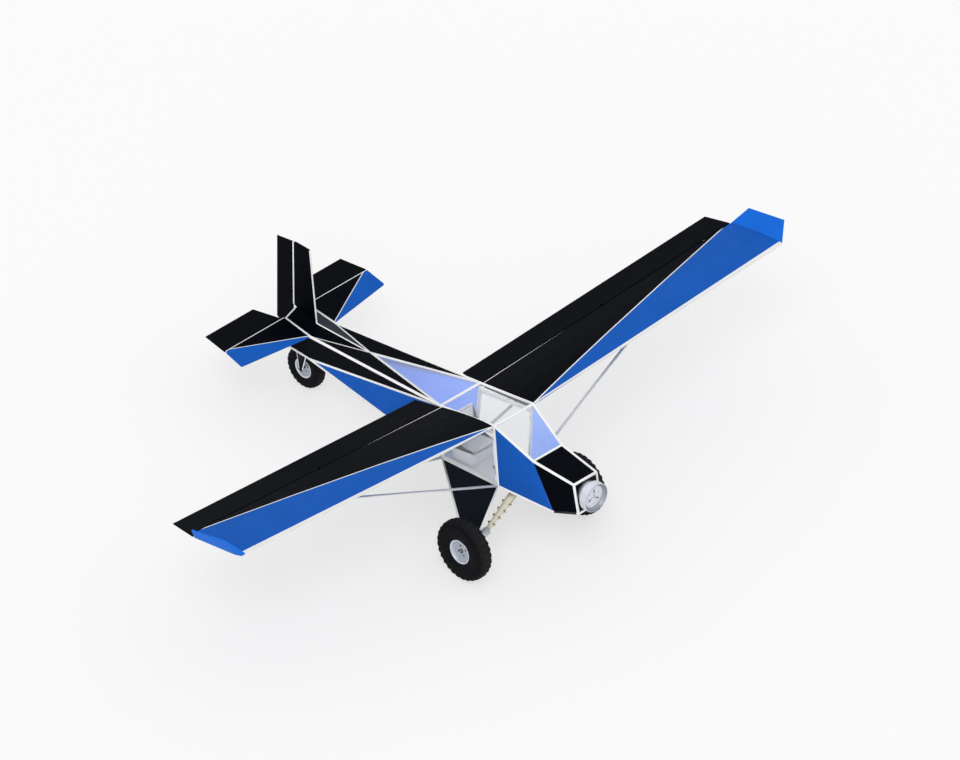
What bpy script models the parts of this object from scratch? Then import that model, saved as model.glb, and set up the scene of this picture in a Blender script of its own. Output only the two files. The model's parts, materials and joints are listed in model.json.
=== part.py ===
"""Bush plane: a small high-wing tail-wheel aeroplane of welded tube and flat panels, as it parks.

Design frame, in which every piece is drawn: metres, +X forward, +Y to the pilot's left, +Z up,
origin midway between the leading edges of the two wing roots. The root empty then pitches the
aeroplane about Y until its three tyres stand on z = 0, and centres it over the origin.
"""

import math

import bmesh
import bpy
from mathutils import Matrix, Vector

# Clearances
SEAT_GAP = 0.0003
RUN_GAP = 0.006
PIN_GAP = 0.0005
SEAM_GAP = 0.0008
CHIN_EASE = 0.0015
RAIL_EASE = 0.0002
CUT_OVER = 0.020

# Fuselage corners: X, half width Y, Z
ROOF_FRONT = (0.0, 0.340, 0.0)
ROOF_REAR = (-0.943, 0.351, -0.156)
SCREEN_FOOT = (0.601, 0.250, -0.286)
NOSE_TOP = (1.260, 0.197, -0.345)
NOSE_BOTTOM = (1.333, 0.188, -0.748)
CHIN = (0.918, 0.213, -0.913)
DOOR_FOOT = (0.015, 0.285, -0.934)
CABIN_HEEL = (-0.981, 0.285, -0.999)
STAB_FRONT = (-3.385, 0.213, -0.388)
TAIL_X = -3.834
STAB_REAR = (TAIL_X, 0.201, -0.337)
KEEL_REAR = (-3.423, 0.175, -0.766)
TAIL_FOOT = (TAIL_X, 0.175, -0.750)
SPINE_PEAK = (-2.519, 0.0, -0.315)
FIN_FOOT = (-3.475, 0.0, -0.340)
FIN_HEEL = (TAIL_X, 0.0, -0.250)

# Tubes and panels
FRAME_TUBE_R = 0.0175
TAIL_TUBE_R = 0.010
CROSS_TUBE_R = 0.0125
CROSS_TUBE_SIDES = 8
ROUND_SIDES = 16
TUBE_SIDES = 10
TUBE_OVERRUN = 0.15
PANEL_T = 0.012
GLAZING_T = 0.006

# Wing
WING_LE_TO_HINGE = 0.958
WING_INCIDENCE = math.radians(9.43)
WING_DIHEDRAL = math.radians(3.35)
WING_TIP_Y = 4.746
WING_CREST = 0.030
WING_BELLY = 0.085
WING_REAR_T = 0.062
TIP_OUT = 0.181
TIP_RISE_FRONT = 0.194
TIP_RISE_REAR = 0.221
TIP_SWEEP_FRONT = 0.141
TIP_SWEEP_REAR = 0.180
TIP_EDGE_T = 0.016

# Control surfaces
FLAPERON_CHORD = 0.386
FLAPERON_NOSE_R = 0.030
FLAPERON_NOSE_POINTS = 9
FLAPERON_TE_UP = -0.012
FLAPERON_END_CUT = 0.044
FLAPERON_HINGE_YS = (0.80, 2.50, 4.30)
TRAILING_T = 0.008
TAIL_SURFACE_T = 0.032
TAIL_NOSE_R = 0.016
ELEVATOR_AXIS_X = -3.869
ELEVATOR_AXIS_Z = -0.335
ELEVATOR_CHORD = 0.387
ELEVATOR_ROOT_Y = 0.262
ELEVATOR_ROOT_TE_Y = 0.354
ELEVATOR_TIP_TE_Y = 1.194
ELEVATOR_HINGE_Y = 0.800
STAB_TIP_FRONT = (-3.548, 1.256, -0.406)
STAB_TIP_Y = 1.245
STAB_ROOT_EASE = 0.006
TORQUE_TUBE_R = 0.010
TORQUE_TUBE_HOLD = 0.030
BEARING_Y = 0.234
BEARING_WALL = 0.008
RUDDER_AXIS_FOOT = (-3.901, 0.0, -0.700)
RUDDER_AXIS_TOP = (-3.919, 0.0, 0.700)
RUDDER_TE_X = -4.179
RUDDER_TE_TOP_Z = 0.668
RUDDER_TE_FOOT_Z = -0.560
RUDDER_HINGE_ZS = (-0.560, -0.060, 0.520)
FIN_TOP_FRONT = (-3.601, 0.0, 0.716)
HINGE_PIN_R = 0.006
HINGE_LUG_R = 0.013
HINGE_LUG_T = 0.014
HINGE_NOTCH_W = 0.034
HINGE_PIN_HOLD = 0.010
HINGE_SLOT_FRONT = 0.010
HINGE_LUG_ROOT = 0.020
HINGE_ARM_SHARE = 0.9
THIN_NOSE = ((0.3, 0.75), (1.2, 1.0))

# Doors
DOOR_HEAD = 0.090
DOOR_TUBE_R = 0.011
DOOR_TUBE_SIDES = 8
DOOR_TUBE_OVERRUN = 0.6
DOOR_HINGE_SHARES = (0.16, 0.84)
DOOR_LUG_T = 0.014
DOOR_SLOT_W = 0.028
DOOR_SLOT_HALF = 0.020
DOOR_PIN_L = 0.060
DOOR_GLASS_NOTCH = 0.024

# Wheels and gear
MAIN_WHEEL = (0.1375, 1.0075, -1.4825)
MAIN_TYRE_R = 0.420
MAIN_TYRE_HALF_W = 0.118
MAIN_RIM_R = 0.177
TAIL_WHEEL = (-3.6625, 0.0, -1.082)
TAIL_TYRE_R = 0.290
TAIL_TYRE_HALF_W = 0.082
TAIL_RIM_R = 0.141
SPINDLE_R = 0.020
AXLE_R = 0.0525
AXLE_INNER = (0.1375, 0.600, -1.392)
AXLE_OUTER_Y = 0.900
GEAR_TUBE_R = 0.014
GEAR_CARRIER_Y = 0.850
GEAR_CARRIER_Z = -1.412
GEAR_CARRIER_XS = (-0.045, 0.180)
SPINDLE_ROOT = 0.030
SPINDLE_END = 0.060
WHEEL_SEGMENTS = 28
TYRE_BEAD = 0.003
TYRE_SECTION = ((0.0, 0.66), (0.16, 0.90), (0.50, 1.0), (0.85, 0.82), (1.0, 0.32))
BEAD_GAP = 0.0008
RIM_LIP = 0.010
RIM_LIP_T = 0.006
HUB_WALL = 0.010
HUB_DISC_T = 0.024
HUB_BOSS_WALL = 0.020
HUB_BOSS_SHARE = 0.45

# Shock struts: each step is (share of the length at its end, radius)
SHOCK_TOP = (0.1375, 0.030, -0.990)
SHOCK_MOUNT = (0.040, 0.022)
SHOCK_MOUNT_DROP = 0.030
SHOCK_FOOT_Y = 0.6375
SHOCK_TOP_R = 0.030
SHOCK_STEPS = ((0.04, 0.030), (0.41, 0.054), (0.56, 0.046), (0.70, 0.039), (0.85, 0.034), (1.0, 0.031))
SHOCK_SIDES = 12
STEP_SLOPE = 0.01
SHOCK_EAR = (0.020, 0.011, 0.013)

# Tail wheel fork
STEER_X = -3.600
FORK_CROWN_TOP = -0.776
FORK_CROWN_T = 0.010
FORK_CROWN_L = 0.190
FORK_TRAIL = 0.020
FORK_ARM_T = 0.012
FORK_ARM_EYE_R = 0.028
FORK_EYE_POINTS = 7
FORK_SIDE_GAP = 0.010
TAIL_AXLE_R = 0.012
TAIL_AXLE_END = 0.008
FORK_SPINDLE_R = 0.016
STEER_HEAD_R = 0.030
STEER_HEAD_TOP = -0.640

# Lift struts
STRUT_SPAN_Y = 3.125
STRUT_HALF_CHORD = 0.024
STRUT_HALF_T = 0.012
SLOPE_STEP = 0.050
FRONT_STRUT_ALONG = 0.500
REAR_STRUT_ALONG = 0.860

# Motor
MOTOR_Z = -0.541
MOTOR_R = 0.199
MOTOR_BACK_X = 1.358
MOTOR_FRONT_X = 1.463
MOTOR_DISH = 0.050
MOTOR_SHAFT_R = 0.022
MOTOR_SHAFT_END = 0.012
MOTOR_EDGE = 0.008
MOTOR_LIP_SHARE = 0.86
MOTOR_FLOOR_SHARE = 0.60
MOTOR_SEGMENTS = 32
STATOR_R = 0.165
STATOR_SIDES = 24

# Cabin
SEAT_FRONT_X = -0.460
SEAT_BACK_X = -0.840
SEAT_W = 0.420
SEAT_FRONT_H = 0.265
SEAT_BACK_H = 0.230
SEAT_BACK_RISE = 0.375
SEAT_BACK_RAKE = 0.065
SEAT_BACK_T = 0.042
SEAT_EDGE = 0.040
SEAT_FOOT_BACK = 0.060
SEAT_LIP_DROP = 0.030

# Controls
STICK_X = -0.300
STICK_BOOT_R = 0.045
STICK_BOOT_H = 0.035
STICK_R = 0.011
STICK_KNEE = (-0.020, 0.150)
STICK_TOP = (-0.035, 0.230)
GRIP_R = 0.017
GRIP_L = 0.100
PEDAL_BAR = (0.620, 0.260, 0.022)
PEDAL_Y = 0.085
PEDAL_W = 0.080
PEDAL_H = 0.170
PEDAL_T = 0.009
PEDAL_LEAN = math.radians(20)
DIAL_PANEL_W = 0.340
DIAL_PANEL_H = 0.130
DIAL_PANEL_T = 0.005

for old in list(bpy.data.objects):
    bpy.data.objects.remove(old, do_unlink=True)


def material(name, colour, roughness, metallic=0.0, alpha=1.0):
    """A Principled BSDF of one colour."""
    made = bpy.data.materials.new(name)
    made.use_nodes = True
    shader = made.node_tree.nodes["Principled BSDF"]
    shader.inputs["Base Color"].default_value = (*colour, 1.0)
    shader.inputs["Roughness"].default_value = roughness
    shader.inputs["Metallic"].default_value = metallic
    shader.inputs["Alpha"].default_value = alpha
    return made


WHITE = material("white enamel", (0.86, 0.87, 0.88), 0.35)
BLACK = material("black fabric", (0.006, 0.008, 0.012), 0.5)
BLUE = material("blue fabric", (0.012, 0.107, 0.49), 0.45)
CLEAR = material("clear glazing", (0.78, 0.86, 0.95), 0.1, alpha=0.4)
SILVER = material("bare aluminium", (0.62, 0.66, 0.70), 0.35, 1.0)
STRUT_GREY = material("pale grey enamel", (0.70, 0.70, 0.73), 0.4)
TAN = material("tan sleeve", (0.55, 0.50, 0.38), 0.5)
RUBBER = material("tyre rubber", (0.014, 0.014, 0.016), 0.85)
SEAT_CLOTH = material("grey seat", (0.30, 0.31, 0.33), 0.8)


def mirrored(point, side):
    """The point given for the left side, put on the side asked for."""
    return Vector((point[0], point[1] * side, point[2]))


def empty(name, location, parent=None):
    """A pivot or a group."""
    made = bpy.data.objects.new(name, None)
    made.empty_display_size = 0.1
    bpy.context.scene.collection.objects.link(made)
    made.parent = parent
    made.location = Vector(location) - (design_origin(parent) if parent else Vector())
    return made


def design_origin(group):
    """Where an empty stands in the design frame."""
    place = Vector()
    while group is not None and group.name != "aeroplane":
        place += Vector(group.location)
        group = group.parent
    return place


def closed_mesh(name, points, faces):
    """A mesh whose faces all point out, from points in the design frame."""
    bm = bmesh.new()
    verts = [bm.verts.new(point) for point in points]
    for face in faces:
        bm.faces.new([verts[i] for i in face])
    bmesh.ops.recalc_face_normals(bm, faces=bm.faces)
    mesh = bpy.data.meshes.new(name)
    bm.to_mesh(mesh)
    bm.free()
    return mesh


def loft_mesh(name, rings):
    """Joins rings of equally many points and caps the first and the last."""
    count = len(rings[0])
    points = [point for ring in rings for point in ring]
    faces = []
    for level in range(len(rings) - 1):
        near = level * count
        far = near + count
        for i in range(count):
            j = (i + 1) % count
            faces.append((near + i, near + j, far + j, far + i))
    last = (len(rings) - 1) * count
    faces.append(tuple(range(count)))
    faces.append(tuple(last + i for i in range(count)))
    return closed_mesh(name, points, faces)


def across(direction):
    """Two unit vectors square to a direction and to each other."""
    along = Vector(direction).normalized()
    guide = Vector((0, 0, 1)) if abs(along.z) < 0.9 else Vector((1, 0, 0))
    first = along.cross(guide).normalized()
    return first, along.cross(first)


def ring(centre, direction, radius, sides=TUBE_SIDES):
    """A round ring of points square to a direction."""
    first, second = across(direction)
    points = []
    for i in range(sides):
        angle = math.tau * i / sides
        points.append(Vector(centre) + (first * math.cos(angle) + second * math.sin(angle)) * radius)
    return points


def tube_mesh(name, start, end, radius, sides=TUBE_SIDES, overrun=0.0):
    """A solid round bar between two points, run on past both by the overrun."""
    direction = (Vector(end) - Vector(start)).normalized()
    first = Vector(start) - direction * overrun
    last = Vector(end) + direction * overrun
    return loft_mesh(name, [ring(first, direction, radius, sides), ring(last, direction, radius, sides)])


def box_mesh(name, centre, half_sizes, axes):
    """A block with its half sizes along three unit vectors."""
    points = []
    for a in (-1, 1):
        for b in (-1, 1):
            for c in (-1, 1):
                signs = (a, b, c)
                points.append(
                    Vector(centre) + sum((axes[i] * half_sizes[i] * signs[i] for i in range(3)), Vector())
                )
    faces = [(0, 1, 3, 2), (4, 6, 7, 5), (0, 4, 5, 1), (2, 3, 7, 6), (0, 2, 6, 4), (1, 5, 7, 3)]
    return closed_mesh(name, points, faces)


def revolved_mesh(name, profile, centre, axis, segments, turn=0.0):
    """Turns a closed profile of (radius, place along the axis) about the axis."""
    first, second = across(axis)
    along = Vector(axis).normalized()
    count = len(profile)
    points = []
    for i in range(segments):
        angle = turn + math.tau * i / segments
        outward = first * math.cos(angle) + second * math.sin(angle)
        points += [Vector(centre) + outward * radius + along * place for radius, place in profile]
    faces = []
    for i in range(segments):
        near = i * count
        far = ((i + 1) % segments) * count
        for k in range(count):
            m = (k + 1) % count
            faces.append((near + k, near + m, far + m, far + k))
    return closed_mesh(name, points, faces)


def panel_mesh(name, corners, thickness, insets):
    """A flat or folded panel. Its folds fan out from the first corner, and inset i keeps it that far
    from the line between corners i and i + 1."""
    count = len(corners)
    corners = [Vector(corner) for corner in corners]
    inward = []
    for i, corner in enumerate(corners):
        apex = min(max(i, 1), count - 2)
        facing = (corners[apex] - corners[0]).cross(corners[apex + 1] - corners[0])
        inward.append(facing.cross(corners[(i + 1) % count] - corner).normalized())
    inner = []
    for i, corner in enumerate(corners):
        before, after = inward[i - 1], inward[i]
        cosine = before.dot(after)
        spread = 1 - cosine * cosine
        if spread < 1e-6:
            inner.append(corner + after * insets[i])
            continue
        share_before = (insets[i - 1] - cosine * insets[i]) / spread
        share_after = (insets[i] - cosine * insets[i - 1]) / spread
        inner.append(corner + before * share_before + after * share_after)
    normals = [Vector() for _ in corners]
    for i in range(1, count - 1):
        normal = (inner[i] - inner[0]).cross(inner[i + 1] - inner[0]).normalized()
        for k in (0, i, i + 1):
            normals[k] += normal
    upper = [point + normal.normalized() * (thickness / 2) for point, normal in zip(inner, normals)]
    lower = [point - normal.normalized() * (thickness / 2) for point, normal in zip(inner, normals)]
    faces = []
    for i in range(1, count - 1):
        faces.append((0, i, i + 1))
        faces.append((count, count + i + 1, count + i))
    for i in range(count):
        j = (i + 1) % count
        faces.append((i, count + i, count + j, j))
    return closed_mesh(name, upper + lower, faces)


def piece(name, mesh, surface, parent, smooth=False):
    """One sub-part: the mesh moved so that its origin is its parent's."""
    mesh.transform(Matrix.Translation(-design_origin(parent)))
    mesh.materials.append(surface)
    if smooth:
        mesh.shade_smooth()
        mesh.set_sharp_from_angle(angle=math.radians(40))
    made = bpy.data.objects.new(name, mesh)
    bpy.context.scene.collection.objects.link(made)
    made.parent = parent
    return made


def shape_with(made, operation, meshes, solver="EXACT"):
    """Adds meshes to a piece, or cuts them from it, by one Boolean."""
    group = bpy.data.collections.new(f"{made.name} {operation.lower()}")
    bpy.context.scene.collection.children.link(group)
    for mesh in meshes:
        mesh.transform(Matrix.Translation(-design_origin(made.parent)))
        operand = bpy.data.objects.new(mesh.name, mesh)
        group.objects.link(operand)
        operand.parent = made.parent
        operand.hide_render = True
        operand.display_type = "WIRE"
    change = made.modifiers.new(operation.title(), "BOOLEAN")
    change.operation = operation
    change.solver = solver
    change.operand_type = "COLLECTION"
    change.collection = group
    return made


def tube_list(spans, radius, sides=TUBE_SIDES, overrun=TUBE_OVERRUN):
    """Bars for a list of (start, end), with ends run on by a share of the radius so that they join."""
    return [tube_mesh("tube", start, end, radius, sides, overrun * radius) for start, end in spans]


def between(start, end, share):
    """The point a share of the way from one point to another."""
    return Vector(start).lerp(Vector(end), share)


def bore_mesh(centre, half_lug, pin_r, sides=TUBE_SIDES):
    """What cuts a lug for a pin. Its flats clear the pin as it turns, and it runs past both faces."""
    radius = (pin_r + PIN_GAP) / math.cos(math.pi / sides)
    start, end = Vector(centre) - half_lug, Vector(centre) + half_lug
    return tube_mesh("bore", start, end, radius, sides, half_lug.length)


# Parked attitude: the pitch at which the main tyres and the tail tyre stand on the ground together.
# Each tyre stands on the middle of a facet, so it is lower there by facet_share than at a corner.
facet_share = math.cos(math.pi / WHEEL_SEGMENTS)
wheel_run = MAIN_WHEEL[0] - TAIL_WHEEL[0]
wheel_rise = MAIN_WHEEL[2] - TAIL_WHEEL[2]
height_step = (MAIN_TYRE_R - TAIL_TYRE_R) * facet_share
pitch = math.asin(height_step / math.hypot(wheel_run, wheel_rise)) - math.atan2(wheel_rise, wheel_run)

# Pivots
aeroplane = empty("aeroplane", (0, 0, 0))


def surface_hinge(centre, axis, toward, nose_r):
    """The four shapes of one hinge: the slot and the pin of the moving surface, and the lug and the
    bore of the piece ahead of it."""
    along = Vector(axis).normalized()
    ahead = (Vector(toward) - along * Vector(toward).dot(along)).normalized()
    side = along.cross(ahead)
    axes = (along, ahead, side)
    back = HINGE_LUG_R + RUN_GAP
    front = nose_r + HINGE_SLOT_FRONT
    slot = box_mesh(
        "slot",
        Vector(centre) + ahead * (front - back) / 2,
        (HINGE_NOTCH_W / 2, (front + back) / 2, nose_r + CUT_OVER),
        axes,
    )
    half_pin = along * (HINGE_NOTCH_W / 2 + HINGE_PIN_HOLD)
    pin = tube_mesh("pin", Vector(centre) - half_pin, Vector(centre) + half_pin, HINGE_PIN_R)
    half_lug = along * HINGE_LUG_T / 2
    lug_end = tube_mesh("lug end", Vector(centre) - half_lug, Vector(centre) + half_lug, HINGE_LUG_R)
    reach = nose_r + RUN_GAP + HINGE_LUG_ROOT
    lug_arm = box_mesh(
        "lug arm",
        Vector(centre) + ahead * reach / 2,
        (HINGE_LUG_T / 2, reach / 2, HINGE_LUG_R * HINGE_ARM_SHARE),
        axes,
    )
    return slot, pin, [lug_end, lug_arm], bore_mesh(centre, half_lug, HINGE_PIN_R)


def hinged(moving, fixed, hinges):
    """Cuts and pins a moving surface, and puts the lugs on the piece ahead of it."""
    shape_with(moving, "DIFFERENCE", [h[0] for h in hinges], "MANIFOLD")
    shape_with(moving, "UNION", [h[1] for h in hinges], "MANIFOLD")
    shape_with(fixed, "UNION", [shape for h in hinges for shape in h[2]], "MANIFOLD")
    shape_with(fixed, "DIFFERENCE", [h[3] for h in hinges], "MANIFOLD")


# Frame

nose_slope = math.atan2(NOSE_BOTTOM[2] - CHIN[2], NOSE_BOTTOM[0] - CHIN[0])
raise_cross = (CROSS_TUBE_R + SEAT_GAP + PANEL_T / 2) / math.cos(nose_slope)
inset_cross = PANEL_T / 2 + 2 * SEAT_GAP


def lifted(point, side):
    """A belly corner lifted so that a cross tube there lies on the belly panel and ends inside the
    side panels."""
    return mirrored(point, side) + Vector((0, -side * inset_cross, raise_cross))


steer_station = (
    STEER_X,
    between(KEEL_REAR, TAIL_FOOT, (STEER_X - KEEL_REAR[0]) / (TAIL_X - KEEL_REAR[0])).y,
    between(KEEL_REAR, TAIL_FOOT, (STEER_X - KEEL_REAR[0]) / (TAIL_X - KEEL_REAR[0])).z,
)
header_front_share = DOOR_HEAD / (Vector(ROOF_FRONT) - Vector(DOOR_FOOT)).length
header_rear_share = DOOR_HEAD / (Vector(ROOF_REAR) - Vector(CABIN_HEEL)).length
header_front = between(ROOF_FRONT, DOOR_FOOT, header_front_share)
header_rear = between(ROOF_REAR, CABIN_HEEL, header_rear_share)


def frame_spans():
    """Every edge of the fuselage that has a main tube."""
    spans = []
    for side in (1, -1):
        chain = [ROOF_REAR, ROOF_FRONT, SCREEN_FOOT, NOSE_TOP, NOSE_BOTTOM, CHIN, DOOR_FOOT, CABIN_HEEL,
                 KEEL_REAR, TAIL_FOOT, STAB_REAR, STAB_FRONT, ROOF_REAR]
        spans += [(mirrored(a, side), mirrored(b, side)) for a, b in zip(chain, chain[1:])]
        braces = [(ROOF_FRONT, DOOR_FOOT), (ROOF_REAR, CABIN_HEEL), (KEEL_REAR, ROOF_REAR),
                  (ROOF_REAR, SPINE_PEAK), (header_front, header_rear)]
        spans += [(mirrored(a, side), mirrored(b, side)) for a, b in braces]
    for corner in (ROOF_FRONT, ROOF_REAR, SCREEN_FOOT, NOSE_TOP, NOSE_BOTTOM, TAIL_FOOT):
        spans.append((mirrored(corner, 1), mirrored(corner, -1)))
    return spans


def tail_spans():
    """The thinner tubes that carry the fin and the tail post."""
    spans = [(SPINE_PEAK, FIN_FOOT), (FIN_FOOT, FIN_HEEL), (FIN_HEEL, (TAIL_X, 0, TAIL_FOOT[2]))]
    for side in (1, -1):
        spans.append((mirrored(STAB_FRONT, side), SPINE_PEAK))
        spans.append((mirrored(STAB_REAR, side), FIN_HEEL))
    return spans


first_span, *other_spans = frame_spans()
frame = piece(
    "fuselage_frame",
    tube_mesh("tube", *first_span, FRAME_TUBE_R, TUBE_SIDES, FRAME_TUBE_R * TUBE_OVERRUN),
    WHITE,
    aeroplane,
)
cross_corners = (CHIN, DOOR_FOOT, CABIN_HEEL, KEEL_REAR, steer_station)
cross_spans = [(lifted(corner, 1), lifted(corner, -1)) for corner in cross_corners]
head_foot = Vector((STEER_X, 0, steer_station[2] + PANEL_T / 2 + RUN_GAP))
steer_head = tube_mesh("steering head", head_foot, (STEER_X, 0, STEER_HEAD_TOP), STEER_HEAD_R, ROUND_SIDES)
tubes = tube_list(other_spans, FRAME_TUBE_R) + tube_list(tail_spans(), TAIL_TUBE_R)
tubes += tube_list(cross_spans, CROSS_TUBE_R, CROSS_TUBE_SIDES, 0)
shape_with(frame, "UNION", [*tubes, steer_head], "MANIFOLD")

# Panels and glazing


def panel(name, corners, surface, insets=None, thickness=PANEL_T):
    """A panel that fits between the tubes on its edges."""
    fit = FRAME_TUBE_R + SEAT_GAP
    insets = [fit if inset is None else inset for inset in (insets or [None] * len(corners))]
    return piece(name, panel_mesh(name, corners, thickness, insets), surface, aeroplane)


def both(point):
    return mirrored(point, 1), mirrored(point, -1)


panel("windshield", [*both(ROOF_FRONT), *reversed(both(SCREEN_FOOT))], CLEAR, thickness=GLAZING_T)
panel("roof_glass", [*both(ROOF_FRONT), *reversed(both(ROOF_REAR))], CLEAR, thickness=GLAZING_T)
panel("rear_glass", [*both(ROOF_REAR), SPINE_PEAK], CLEAR, thickness=GLAZING_T)
panel("cowl_top", [*both(SCREEN_FOOT), *reversed(both(NOSE_TOP))], BLACK)
panel("firewall", [*both(NOSE_TOP), *reversed(both(NOSE_BOTTOM))], BLACK)

for side, word in ((1, "left"), (-1, "right")):
    at = [mirrored(p, side) for p in (SCREEN_FOOT, NOSE_TOP, NOSE_BOTTOM, CHIN)]
    panel(f"cowl_side_{word}", at, BLACK, [None, None, FRAME_TUBE_R + CHIN_EASE, SEAM_GAP / 2])
    at = [mirrored(p, side) for p in (ROOF_FRONT, SCREEN_FOOT, CHIN, DOOR_FOOT)]
    panel(f"forward_side_{word}", at, BLUE, [None, SEAM_GAP / 2, None, None])
    at = [mirrored(p, side) for p in (ROOF_REAR, KEEL_REAR, CABIN_HEEL)]
    panel(f"aft_side_lower_{word}", at, BLUE)
    at = [mirrored(p, side) for p in (STAB_FRONT, STAB_REAR, TAIL_FOOT, KEEL_REAR, ROOF_REAR)]
    panel(f"aft_side_upper_{word}", at, BLACK)
    at = [mirrored(p, side) for p in (SPINE_PEAK, ROOF_REAR, STAB_FRONT)]
    panel(f"aft_top_{word}", at, BLACK, [None, None, TAIL_TUBE_R + SEAT_GAP])
    at = [mirrored(p, side) for p in (FIN_FOOT, SPINE_PEAK, STAB_FRONT, STAB_REAR, FIN_HEEL)]
    thin = TAIL_TUBE_R + SEAT_GAP
    panel(f"tail_top_{word}", at, BLACK, [thin, None, None, thin, thin])


def belly_mesh():
    """One folded sheet from the nose to the tail, between the lower longerons and under the cross tubes."""
    edge = FRAME_TUBE_R + SEAM_GAP
    stations = [NOSE_BOTTOM, CHIN, DOOR_FOOT, CABIN_HEEL, KEEL_REAR, TAIL_FOOT]
    front_edge = edge + PANEL_T / 2 * math.tan(nose_slope)
    front = between(NOSE_BOTTOM, CHIN, front_edge / (Vector(NOSE_BOTTOM) - Vector(CHIN)).length)
    rear = between(TAIL_FOOT, KEEL_REAR, edge / (Vector(TAIL_FOOT) - Vector(KEEL_REAR)).length)
    stations = [front, *stations[1:-1], rear]
    rings = []
    for x, half_width, z in stations:
        y = half_width - edge
        half = PANEL_T / 2
        rings.append([Vector((x, y, z + half)), Vector((x, -y, z + half)), Vector((x, -y, z - half)),
                      Vector((x, y, z - half))])
    return loft_mesh("belly_skin", rings)


belly = piece("belly_skin", belly_mesh(), BLACK, aeroplane)
steer_low, steer_high = (STEER_X, 0, FORK_CROWN_TOP), (STEER_X, 0, STEER_HEAD_TOP)
spindle_hole = tube_mesh("hole", steer_low, steer_high, FORK_SPINDLE_R + RUN_GAP, ROUND_SIDES)
shape_with(belly, "DIFFERENCE", [spindle_hole])

# Wings and flaperons
chord_way = Vector((-math.cos(WING_INCIDENCE), 0, -math.sin(WING_INCIDENCE)))
wing_up = Vector((-math.sin(WING_INCIDENCE), 0, math.cos(WING_INCIDENCE)))
span_way = Vector((0, math.cos(WING_DIHEDRAL), math.sin(WING_DIHEDRAL)))


def wing_point(along, up, y):
    """A point of the left wing: distance behind the leading edge, height over its plane, and span."""
    out = span_way * ((y - ROOF_FRONT[1]) / span_way.y)
    return Vector(ROOF_FRONT) + out + chord_way * along + wing_up * up


def wing_lower(along):
    """The depth of the underside below the plane through the leading edge and the hinge."""
    full = WING_LE_TO_HINGE
    nose = math.sqrt(1 - (1 - min(along / (0.22 * full), 1)) ** 2)
    taper = max(along / full - 0.22, 0) / 0.78
    return -nose * (WING_BELLY + (WING_REAR_T - WING_BELLY) * taper)


def wing_upper(along):
    """The height of the upper side over the same plane, which it meets at the nose and at the hinge."""
    return WING_CREST * math.sin(math.pi * (along / WING_LE_TO_HINGE) ** 0.8)


hinge_depth = -WING_REAR_T / 2
wing_rear = WING_LE_TO_HINGE - FLAPERON_NOSE_R - RUN_GAP


def wing_ring(y, side, root=False):
    """The section of the main panel. The root section leans along the roof rail."""
    shares = [0.0, 0.02, 0.08, 0.2, 0.4, 0.7, 1.0]
    points = [(s * wing_rear, wing_upper(s * wing_rear)) for s in shares]
    points += [(s * wing_rear, wing_lower(s * wing_rear)) for s in reversed(shares[1:])]
    made = []
    for along, up in points:
        rail = (ROOF_REAR[1] - ROOF_FRONT[1]) * along / WING_LE_TO_HINGE if root else 0.0
        made.append(mirrored(wing_point(along, up, y + rail), side))
    return made


def tip_ring(side):
    """The thin outer edge of the upturned tip, with as many points as a wing section."""
    front = wing_point(0, 0, WING_TIP_Y) + Vector((-TIP_SWEEP_FRONT, TIP_OUT, TIP_RISE_FRONT))
    rear = wing_point(WING_LE_TO_HINGE, 0, WING_TIP_Y) + Vector((TIP_SWEEP_REAR, TIP_OUT, TIP_RISE_REAR))
    shares = [0.0, 0.02, 0.08, 0.2, 0.4, 0.7, 1.0]
    out = Vector((0, -TIP_EDGE_T * 0.7, TIP_EDGE_T * 0.7)) / 2
    points = [between(front, rear, s) + out for s in shares]
    points += [between(front, rear, s) - out for s in reversed(shares[1:])]
    points[0] -= out
    return [mirrored(point, side) for point in points]


def flaperon_ring(y_nose, y_tail, side):
    """A round nose on the hinge line that tapers to the trailing edge."""
    points = []
    for i in range(FLAPERON_NOSE_POINTS):
        angle = math.pi * (0.5 + i / (FLAPERON_NOSE_POINTS - 1))
        along = WING_LE_TO_HINGE + FLAPERON_NOSE_R * math.cos(angle)
        points.append((along, hinge_depth + FLAPERON_NOSE_R * math.sin(angle), 0))
    tail = WING_LE_TO_HINGE + FLAPERON_CHORD
    points += [(tail, FLAPERON_TE_UP - TRAILING_T / 2, 1), (tail, FLAPERON_TE_UP + TRAILING_T / 2, 1)]
    ends = (y_nose, y_tail)
    return [mirrored(wing_point(along, up, ends[tail_end]), side) for along, up, tail_end in points]


def strut_mesh(name, foot, along, side):
    """An oval bar from a lower fuselage corner to the underside of the wing."""
    top = mirrored(wing_point(along, wing_lower(along) - SEAT_GAP, STRUT_SPAN_Y), side)
    start = mirrored(foot, side)
    direction = (top - start).normalized()
    forward = (Vector((1, 0, 0)) - direction * direction.x).normalized()
    thick = direction.cross(forward)
    onward = along + SLOPE_STEP
    under = wing_point(onward, wing_lower(onward), STRUT_SPAN_Y)
    under -= wing_point(along, wing_lower(along), STRUT_SPAN_Y)
    normal = mirrored(under.cross(span_way), side).normalized()
    lower = []
    upper = []
    for i in range(TUBE_SIDES):
        angle = math.tau * i / TUBE_SIDES
        offset = forward * STRUT_HALF_CHORD * math.cos(angle) + thick * STRUT_HALF_T * math.sin(angle)
        lower.append(start + offset)
        run = (top - start - offset).dot(normal) / direction.dot(normal)
        upper.append(start + offset + direction * run)
    return loft_mesh(name, [lower, upper])


def frame_cutter(corner, ends, radius=FRAME_TUBE_R):
    """The tubes that meet at a corner, grown by the seating gap, to cut what ends there."""
    grown = radius + SEAT_GAP
    overrun = radius * TUBE_OVERRUN + SEAT_GAP
    return [tube_mesh("seating", corner, end, grown, overrun=overrun) for end in ends]


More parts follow.
